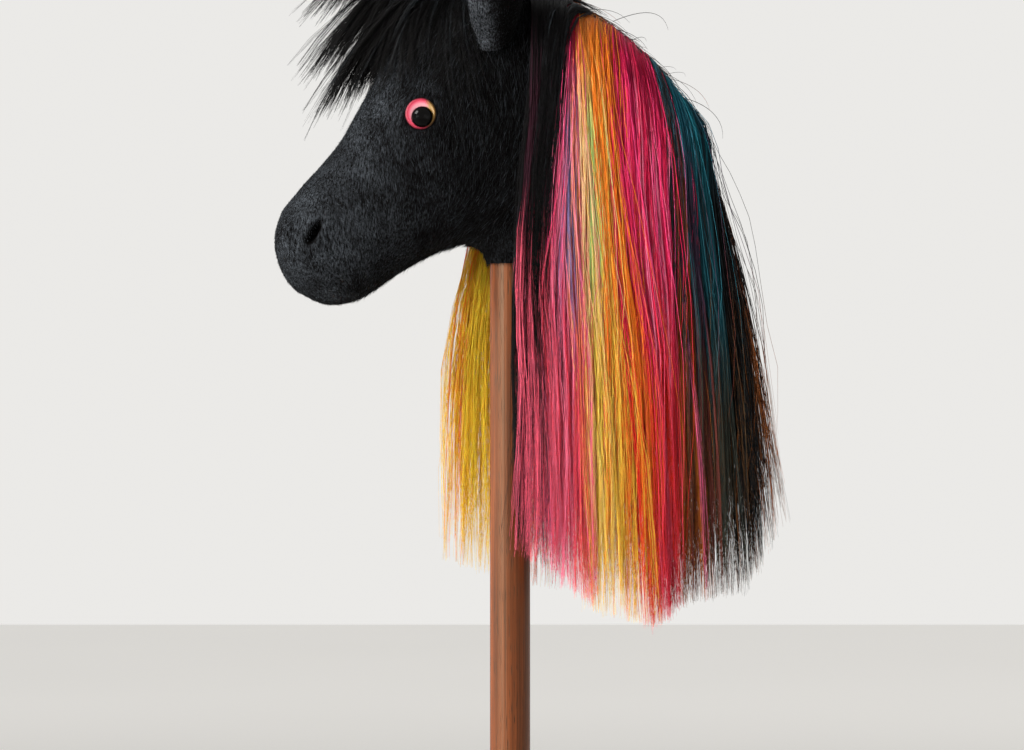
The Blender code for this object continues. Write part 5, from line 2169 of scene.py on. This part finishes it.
    far_locks: tuple = (
        Lock("far_tress_yellow", "far_mane_front", "yellow_hair", (
            Band(0.3, {Dye.ORANGE: 0.25, Dye.SALMON: 0.2, Dye.YELLOW: 0.55}, 0.7),
            Band(1.0, {Dye.YELLOW: 0.88, Dye.GOLD: 0.08, Dye.ORANGE: 0.04}),
        ), 130, 8, 14),
        Lock("far_tress_orange", "far_mane_front", "orange_hair", (
            Band(0.4, {Dye.GOLD: 0.4, Dye.YELLOW: 0.4, Dye.ORANGE: 0.2}),
            Band(1.0, {Dye.ORANGE: 0.55, Dye.GOLD: 0.25, Dye.SALMON: 0.2}),
        ), 90, 8, 8),
        Lock("far_tress_crimson", "far_mane_back", "magenta_hair", (
            Band(0.5, {Dye.CRIMSON: 0.4, Dye.HOT_PINK: 0.4, Dye.PINK: 0.2}),
            Band(1.0, {Dye.CRIMSON: 0.5, Dye.NAVY: 0.2, Dye.TEAL: 0.3}),
        ), 85, 8, 8),
        Lock("far_tress_black", "far_mane_back", "black_hair", (
            Band(0.3, {Dye.TEAL: 0.3, Dye.CHARCOAL: 0.3, Dye.BLACK: 0.4}),
            Band(1.0, {Dye.BLACK: 0.7, Dye.SABLE: 0.3}),
        ), 85, 8, 12),
    )
    fringe: int = 120  # guides along the crest
    fringe_from: float = 7.1  # the station where the first one starts
    fringe_run: float = 3.3  # how many stations further back the last one does
    fringe_end: float = 11.2
    fringe_lengths: tuple = (0.15, 0.9)  # in stations
    fringe_loose: float = 0.25  # the share of them that stand up
    fringe_dyes: dict = field(
        default_factory=lambda: {Dye.BLACK: 0.6, Dye.SABLE: 0.3, Dye.BROWN: 0.1}
    )

    def build(self) -> None:
        """Grows every lock, and the fringe along the crest."""
        for side, partings, locks in (
            (Side.NEAR, self.near_partings, self.near_locks),
            (Side.FAR, self.far_partings, self.far_locks),
        ):
            for i, lock in enumerate(locks):
                made = self.guides(lock, partings[i], partings[i + 1], side, 40 * side.value + i)
                name = lock.node.replace("_tress_", "_hair_")
                self.grow(name, made, i + 1, lock.body, lock.slot, lock.node)
        self.grow("crest_hair", self.along_crest(), 9, ROOT, "black_hair")

    def grow(
        self, name: str, made: Guides, seed: int, body: str, slot: str, *nodes: str
    ) -> None:
        """Turns guides into hair on a body.

        Args:
            name: The new piece's name.
            made: The guides.
            seed: The tree's seed.
            body: The body that the hair belongs to.
            slot: The slot of the record that it has.
            *nodes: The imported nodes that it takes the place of.
        """
        inputs = {
            "Strand Radius": 0.17 * MM,
            "Frizz": 10.0 * MM,
            "Frizz Scale": 34.0,
            "Raggedness": 0.24,
            "Dye Spread": 0.012,
            "Seed": seed,
        }
        finish = hair_finish(slot)
        hair = grown(name, made.as_object(f"{name}_guides"), self.tree, inputs, finish)
        settle(hair, body, finish, *nodes, bend_over=0.0 if body == ROOT else self.bend_over)

    def guides(self, lock: Lock, left: Parting, right: Parting, side: Side, seed: int) -> Guides:
        """The guides of one lock: clumps all through it, crossing ones and loose single hairs.

        Args:
            lock: The lock.
            left: Its front edge.
            right: Its back edge.
            side: Which side it hangs on.
            seed: For its random draws.

        Returns:
            The guides.
        """
        rng = np.random.default_rng(seed + 100)
        made = Guides()
        hang = partial(self.hang, left, right, side, rng)
        steps = np.linspace(0, 1, self.points) ** self.crowding
        clump = np.interp(steps, (0, 0.1, 0.5, 0.8, 1), (0.8, 1.0, 1.4, 1.5, 1.5)) * MM
        for i in range(lock.clumps):
            share = (i + rng.uniform()) / lock.clumps
            crossing = rng.uniform() < self.crossed
            drift = rng.normal(0, self.drifts[crossing])
            tip = min(1.1, max(-0.1, share + drift))
            depth = 1.0 if crossing else rng.uniform(-1, 1)
            reach = self.longest - self.shorter * rng.uniform() ** 2
            wave = rng.uniform(*self.sway) * MM
            places = hang(Crossing(share, tip), depth, reach, wave)
            own = clump * rng.uniform(0.4, 1.4)
            fullness = lock.strands * lock.band(share).fullness
            strands = max(2, round(fullness * rng.uniform(0.5, 1.5)))
            made.add(places, strands, own, lock.dye(share, rng), rng)
        for crossing in lock.crossings:
            for _ in range(crossing.guides):
                share = rng.uniform(*self.crossing_shares)
                way = Crossing(crossing.root + share, crossing.tip + 2 * share, crossing.by)
                depth, reach = rng.uniform(*self.crossing_depths), rng.uniform(0.7, 1)
                places = hang(way, depth, reach, self.crossing_sway)
                dye = lock.dye(min(1, max(0, crossing.root)), rng)
                made.add(places, 1, clump, dye, rng)
        for _ in range(lock.swept):
            share, back = rng.uniform(*self.swept_shares), rng.uniform(*self.swept_back)
            way = Crossing(share, share + rng.normal(0, 0.15))
            depth, reach = rng.uniform(*self.swept_depths), rng.uniform(*self.swept_lengths)
            places = hang(way, depth, reach, self.swept_sway, back)
            # Some are grey strands, as painted highlights.
            dye = Dye.SMOKE if rng.uniform() < self.swept_pale else Dye.BLACK
            made.add(places, self.swept_strands, clump, dye, rng)
        for _ in range(lock.strays):
            share = rng.uniform()
            way = Crossing(share, share + rng.normal(0, 0.25))
            reach, sway = rng.uniform(*self.stray_lengths), rng.uniform(*self.stray_sway) * MM
            places = hang(way, 1.0, reach, sway)
            bow = np.array((0.85, 0.15 * side.value, 0.5)) * rng.exponential(self.stray_bow)
            places += bow * np.sin(math.pi * steps[:, None])
            made.add(self.room.inside(places), 1, clump * 0.7, lock.dye(share, rng), rng)
        return made

    def hang(
        self,
        left: Parting,
        right: Parting,
        side: Side,
        rng: np.random.Generator,
        way: Crossing,
        depth: float,
        reach: float,
        wave: float,
        back: float = 0.0,
    ) -> np.ndarray:
        """One guide from the tape, over the neck and down.

        Args:
            left: The lock's front edge.
            right: Its back edge.
            side: Which side it hangs on.
            rng: For its random draws.
            way: Which shares of the lock's width it runs between.
            depth: From -1, next to the neck, to 1, on top.
            reach: Its length as a share of the lock's.
            wave: How far it sways.
            back: How far behind its place its root is, in stations.

        Returns:
            (points, 3) places from root to tip.
        """
        t = np.linspace(0, 1, self.points) ** self.crowding
        crossed = np.clip(t / way.by, 0, 1)
        share = way.root + (way.tip - way.root) * crossed * crossed * (3 - 2 * crossed)
        station = left.root + (right.root - left.root) * way.root
        root = self.skin.crest(station)
        edges = [p.places(self.skin.crest(p.root)) for p in (left, right)]
        rows = np.linspace(0, len(edges[0]) - 1, 60)
        edges = [smooth_through(edge, rows) for edge in edges]
        gone = np.cumsum(np.linalg.norm(np.diff(edges[0] + edges[1], axis=0), axis=1))
        gone = np.concatenate(((0.0,), gone / gone[-1]))
        runs = [
            np.stack([np.interp(t * reach, gone, edge[:, axis]) for axis in range(3)], 1)
            for edge in edges
        ]
        path = runs[0] * (1 - share[:, None]) + runs[1] * share[:, None]
        from_root = root + self.skin.crest(station + back) - self.skin.crest(station) - path[0]
        path += from_root * np.exp(-t / self.gathered)[:, None]
        sway = rng.uniform(0, math.tau)
        slow, quick = self.sways
        path[:, 0] += wave * t * (np.sin(sway + slow * t) - math.sin(sway) * (1 - t))
        path[:, 0] += 0.3 * wave * np.sin(1.7 * sway + quick * t) * np.minimum(1, 4 * t)
        standoff = self.standoff * np.clip(0.3 + 7 * t, 0, 1)
        places = over_skin(self.skin, path, side, standoff)
        ahead = unit(np.gradient(places, axis=0))
        outward = np.array((0.2, side.value, 0.5))  # off the neck, a little back and up
        outward = unit(outward - ahead * (ahead @ outward)[:, None])
        half = self.half_thickness * (0.25 + 0.75 * np.minimum(1, 6 * t)) * (1 - 0.25 * t)
        places += outward * (depth * half)[:, None]
        places[0] = path[0] + (0, side.value * rng.uniform(1.2, 4.0) * MM, 1.3 * MM)
        return self.room.inside(places)

    def along_crest(self) -> Guides:
        """The guides of the short loose hair that lies along the crest.

        Returns:
            The guides.
        """
        rng = np.random.default_rng(7)
        made = Guides()
        t = np.linspace(0, 1, self.points)
        dyes = self.fringe_dyes
        for i in range(self.fringe):
            first = self.fringe_from + self.fringe_run * (i / self.fringe) ** 1.25
            last = min(self.fringe_end, first + rng.uniform(*self.fringe_lengths))
            line = smooth_through(self.skin.tops, first + (last - first) * t)
            ahead = unit(np.gradient(line, axis=0))
            outward = np.stack((-ahead[:, 2], 0 * t, ahead[:, 0]), 1)
            loose = rng.uniform() < self.fringe_loose
            rise = rng.uniform(1.5, 4.5) + (rng.exponential(10.0) if loose else 0.0)
            bow = rise * np.sin(math.pi * (0.06 + 0.62 * t)) * MM
            aside = rng.normal(0, 3.0) + rng.normal(0, 5.0) * t
            line = line + outward * bow[:, None] + np.stack((0 * t, aside * MM, 0 * t), 1)
            dye = rng.choice(list(dyes), p=list(dyes.values()))
            clump = (0.8 + 1.4 * t) * MM
            made.add(self.room.inside(line), 8 if first < 8.2 and not loose else 1, clump, dye, rng)
        return made


@dataclass(frozen=True)
class ForelockLock:
    """One lock of the forelock: root, pull point and tip of its left edge and of its right."""

    name: str
    body: str
    left: tuple
    right: tuple
    side: Side | None = None
    clumps: int = 110
    strands: int = 10
    loose: tuple = (4.5, 3.5, 3.5)  # how far tips stray along x, y and z, in mm
    short: tuple = (0.0, 0.0, 0.0)  # from the longest tips to the shortest, in mm
    crowd: float = 1.0  # less than 1 crowds the guides towards the right edge
    stands_for: bool = True  # whether it replaces the node of its name


def mirrored(places: tuple, side: Side = Side.FAR) -> tuple:
    """Places given for the near side, on either side of the middle line."""
    return tuple((x, y if side is Side.NEAR else -y, z) for x, y, z in places)


def forelock_locks() -> tuple[ForelockLock, ...]:
    """The locks of the forelock: three over the brow, then one and some wisps down each side.

    Returns:
        The locks, in the order in which they grow.
    """
    over_brow = (
        ("under", ((-16, -12, 178), (-71, -14, 187), (-122, -9, 89)), 200, (50, 0, 30)),
        ("middle", ((-9, -10, 178), (-69, -16, 208), (-132, -11, 116)), 160, (44, 0, 16)),
        ("over", ((-4, -9, 178), (-58, -14, 243), (-130, -13, 150)), 130, (40, 0, 20)),
    )
    side_left = ((-18, -7, 177), (-46, 0, 173), (-50, 0, 118))
    side_right = ((-44, -6, 172), (-80, 0, 163), (-97, 0, 108))
    wisp_left = ((-20, -8, 178), (-40, 0, 170), (-6, 0, 66))
    wisp_right = ((-30, -7, 176), (-54, 0, 165), (-46, 0, 102))
    made = []
    for word, left, clumps, short in over_brow:
        edges = (left, mirrored(left))
        made.append(ForelockLock(f"forelock_{word}", "forelock", *edges, None, clumps, short=short))
    for side, clumps in ((Side.NEAR, 150), (Side.FAR, 120)):
        edges = (mirrored(side_left, side), mirrored(side_right, side))
        name, body = f"forelock_{side.word}", f"{side.word}_forelock"
        made.append(
            ForelockLock(name, body, *edges, side, clumps, 8, (5.0, 0.0, 7.0), crowd=0.6)
        )
    for side in Side:
        edges = (mirrored(wisp_left, side), mirrored(wisp_right, side))
        name, body = f"{side.word}_wisps", f"{side.word}_forelock"
        made.append(
            ForelockLock(name, body, *edges, side, 60, 3, (7.0, 0.0, 12.0), stands_for=False)
        )
    return tuple(made)


@dataclass
class Forelock:
    """The forelock: three brushes forward over the brow, and one lock down each side of it."""

    skin: HeadSkin
    room: HairRoom
    tree: NodeTree
    points: int = 11
    bend_over: float = 26.0 * MM
    clear: float = 0.8 * MM  # the least that any hair stands off the felt
    standoff: float = 5.0 * MM  # the most that a side lock does
    wisp_standoff: float = 1.6 * MM
    locks: tuple = field(default_factory=forelock_locks)
    strays: int = 20
    root_strays: np.ndarray = field(default_factory=lambda: np.array((5, 1, 0)))  # in mm
    pull_strays: np.ndarray = field(default_factory=lambda: np.array((4, 2, 4)))
    # the grey-blue strands are painted highlights
    dyes: dict = field(default_factory=lambda: {Dye.BLACK: 0.86, Dye.SMOKE: 0.14})

    def build(self) -> None:
        """Grows every lock."""
        finish = hair_finish("black_hair")
        for i, lock in enumerate(self.locks):
            guides = self.guides(lock, np.random.default_rng(300 + i))
            inputs = {
                "Strand Radius": 0.14 * MM,
                "Frizz": 8.0 * MM,
                "Frizz Scale": 30.0,
                "Raggedness": 0.35,
                "Dye Spread": 0.012,
                "Seed": 70 + i,
            }
            name = f"{lock.name}_hair"
            hair = grown(name, guides.as_object(f"{name}_guides"), self.tree, inputs, finish)
            nodes = (lock.name,) if lock.stands_for else ()
            bend_over = self.bend_over if lock.side else 0.0
            settle(hair, lock.body, finish, *nodes, bend_over=bend_over)

    def guides(self, lock: ForelockLock, rng: np.random.Generator) -> Guides:
        """The guides of one lock, gathered into pointed tips.

        Args:
            lock: The lock.
            rng: For its random draws.

        Returns:
            The guides.
        """
        made = Guides()
        t = np.linspace(0, 1, self.points) ** 1.15
        clump = np.interp(t, (0, 0.15, 0.6, 1), (1.2, 1.8, 1.3, 0.4)) * MM
        left, right = np.array(lock.left, float), np.array(lock.right, float)
        for i in range(lock.clumps + self.strays):
            stray = i >= lock.clumps
            share = rng.uniform() ** lock.crowd
            ends = left + (right - left) * share
            ends[0] += rng.uniform(-1, 1, 3) * self.root_strays
            ends[1] += rng.normal(0, 1, 3) * self.pull_strays * (3 if stray else 1)
            ends[2] += rng.normal(0, 1, 3) * lock.loose * (2 if stray else 1)
            ends[2] += np.array(lock.short) * rng.uniform() ** 1.4
            ends[2] = ends[0] + (ends[2] - ends[0]) * rng.uniform(0.82, 1.04)
            path = bend(*(in_head(*end) for end in ends), t)
            if lock.side:
                high = self.standoff if lock.stands_for else self.wisp_standoff
                standoff = np.full(self.points, rng.uniform(self.clear, high))
                path = over_skin(self.skin, path, lock.side, standoff)
                path[0] = in_head(*ends[0])
            path = np.array([self.skin.lifted(place, self.clear) for place in path])
            dye = rng.choice(list(self.dyes), p=list(self.dyes.values()))
            strands = 2 if stray else max(2, round(lock.strands * rng.uniform(0.5, 1.5)))
            made.add(self.room.inside(path), strands, clump, dye, rng)
        return made


@dataclass(frozen=True)
class Lamp:
    """A soft lamp, as wide and as tall as given, that looks at a point."""

    name: str
    place: tuple
    width: float
    height: float
    power: float
    colour: tuple = (1.0, 1.0, 1.0)
    spread: float = 180.0  # degrees over which it shines, as a grid in front of it would set

    def hang(self, aim: Vector) -> None:
        """Hangs the lamp and turns it to its aim.

        Args:
            aim: Where it points.
        """
        data = bpy.data.lights.new(self.name, "AREA")
        data.shape = "RECTANGLE"
        data.size, data.size_y = self.width, self.height
        data.energy = self.power
        data.color = self.colour
        data.spread = math.radians(self.spread)
        made = placed(self.name, data)
        made.location = self.place
        made.rotation_euler = (aim - Vector(self.place)).to_track_quat("-Z", "Y").to_euler()


@dataclass(frozen=True)
class PaleFloor(Finish):
    """A plain floor whose paleness is in what the camera sees of it; it keeps its shadow."""

    pale: tuple = (226, 224, 220)
    shown: tuple = (0.0, 0.72)  # how much of the pale look comes without light, near and far
    near: float = 0.5  # metres from the stick
    far: float = 5.0

    def draw(self, graph: Graph, shader: Node) -> None:
        """Adds a soft unevenness, and a glow for camera and mirror rays only.

        Args:
            graph: The material's nodes.
            shader: The shader that the pattern goes into.
        """
        cloud = graph.noise(graph.on_object(), 1.5, 2.0)
        share = graph.times(cloud, 0.3)
        dim = linear([0.96 * c for c in self.pale])
        colour = graph.mixed(share, linear(self.pale), dim)
        self.colour(graph, shader, colour)
        graph.tree.links.new(colour, shader.inputs["Emission Color"])
        away = graph.node(
            "ShaderNodeVectorMath", {0: graph.on_object()}, operation="LENGTH"
        ).outputs["Value"]
        shown = graph.node(
            "ShaderNodeMapRange",
            {"Value": away, "From Min": self.near, "From Max": self.far, "To Min": self.shown[0],
             "To Max": self.shown[1]},
            interpolation_type="SMOOTHSTEP",
        ).outputs[0]
        glow = graph.times(seen_directly(graph), shown)
        graph.tree.links.new(glow, shader.inputs["Emission Strength"])


def seen_directly(graph: Graph) -> NodeSocket:
    """1 for rays from the camera, a mirror or glass, and 0 for the light that falls on things.

    Args:
        graph: The material's or the world's nodes.

    Returns:
        The value's socket.
    """
    path = graph.node("ShaderNodeLightPath").outputs
    seen = graph.math("MAXIMUM", path["Is Camera Ray"], path["Is Glossy Ray"])
    return graph.math("MAXIMUM", seen, path["Is Transmission Ray"])


@dataclass
class Studio:
    """The pale room: camera, lamps, floor and the light all round."""

    camera_at: tuple = (0.0012, -2.2, 0.6508)
    lens: float = 124.06
    aim: tuple = (0.0, 0.0, 0.74)
    around: float = 0.2  # the light from all round
    pale: tuple = (0.83, 0.82, 0.80)
    floor_half: float = 7.0
    lamps: tuple = (
        Lamp("key", (-2.83, -1.90, 3.19), 1.4, 1.4, 24.6, (1.0, 0.985, 0.96), 80.0),
        Lamp("side", (-2.60, -2.35, 0.98), 0.9, 1.8, 25.0, (1.0, 0.985, 0.96), 80.0),
        Lamp("left", (-4.4, 0.7, 1.7), 1.1, 2.2, 14.5, (1.0, 0.985, 0.96), 80.0),
        Lamp("fill", (1.5, -3.4, 1.1), 1.6, 1.6, 6.0),
        Lamp("top", (0.3, 0.9, 2.9), 1.2, 1.2, 10.0),
        Lamp("back", (0.9, 2.6, 1.6), 1.2, 1.2, 10.0),
    )

    def build(self) -> None:
        """Sets the whole room up."""
        scene = bpy.context.scene
        data = bpy.data.cameras.new("camera")
        data.sensor_width = 36.0
        data.lens = self.lens
        data.clip_end = 60.0
        camera = placed("camera", data)
        camera.location = self.camera_at
        camera.rotation_euler = (math.pi / 2, 0, 0)
        scene.camera = camera
        scene.view_settings.view_transform = "Standard"
        for lamp in self.lamps:
            lamp.hang(Vector(self.aim))
        self.light_around(scene)
        self.lay_floor()

    def light_around(self, scene: bpy.types.Scene) -> None:
        """Gives the world a soft light, and a pale look to what sees it directly.

        Args:
            scene: The scene that the world belongs to.
        """
        world = bpy.data.worlds.new("room")
        world.use_nodes = True
        scene.world = world
        graph = Graph(world.node_tree)
        given = (*[self.around * c for c in self.pale], 1.0)
        shown = graph.mixed(seen_directly(graph), given, (*self.pale, 1.0))
        background = world.node_tree.nodes["Background"]
        graph.tree.links.new(shown, background.inputs["Color"])
        background.inputs["Strength"].default_value = 1.0

    def lay_floor(self) -> None:
        """Lays the plain floor."""
        half = self.floor_half
        corners = [(-half, -half, 0), (half, -half, 0), (half, half, 0), (-half, half, 0)]
        finish = PaleFloor("pale_floor", "", 0.9, 0.1)
        piece("floor", corners, [(0, 1, 2, 3)], finish)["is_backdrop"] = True


def main() -> None:
    """Builds the room and every sub-assembly."""
    logging.basicConfig(level=logging.INFO, format="%(message)s")
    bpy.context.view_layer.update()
    room = HairRoom()
    Studio().build()
    skin = HeadSkin()
    Stick().build()
    FeltHead(skin).build()
    Eyes().build()
    Ears(skin).build()
    Sewing(skin).build()
    strands = strand_tree()
    Mane(skin, room, strands).build()
    Forelock(skin, room, strands).build()


if __name__ == "__main__":
    main()
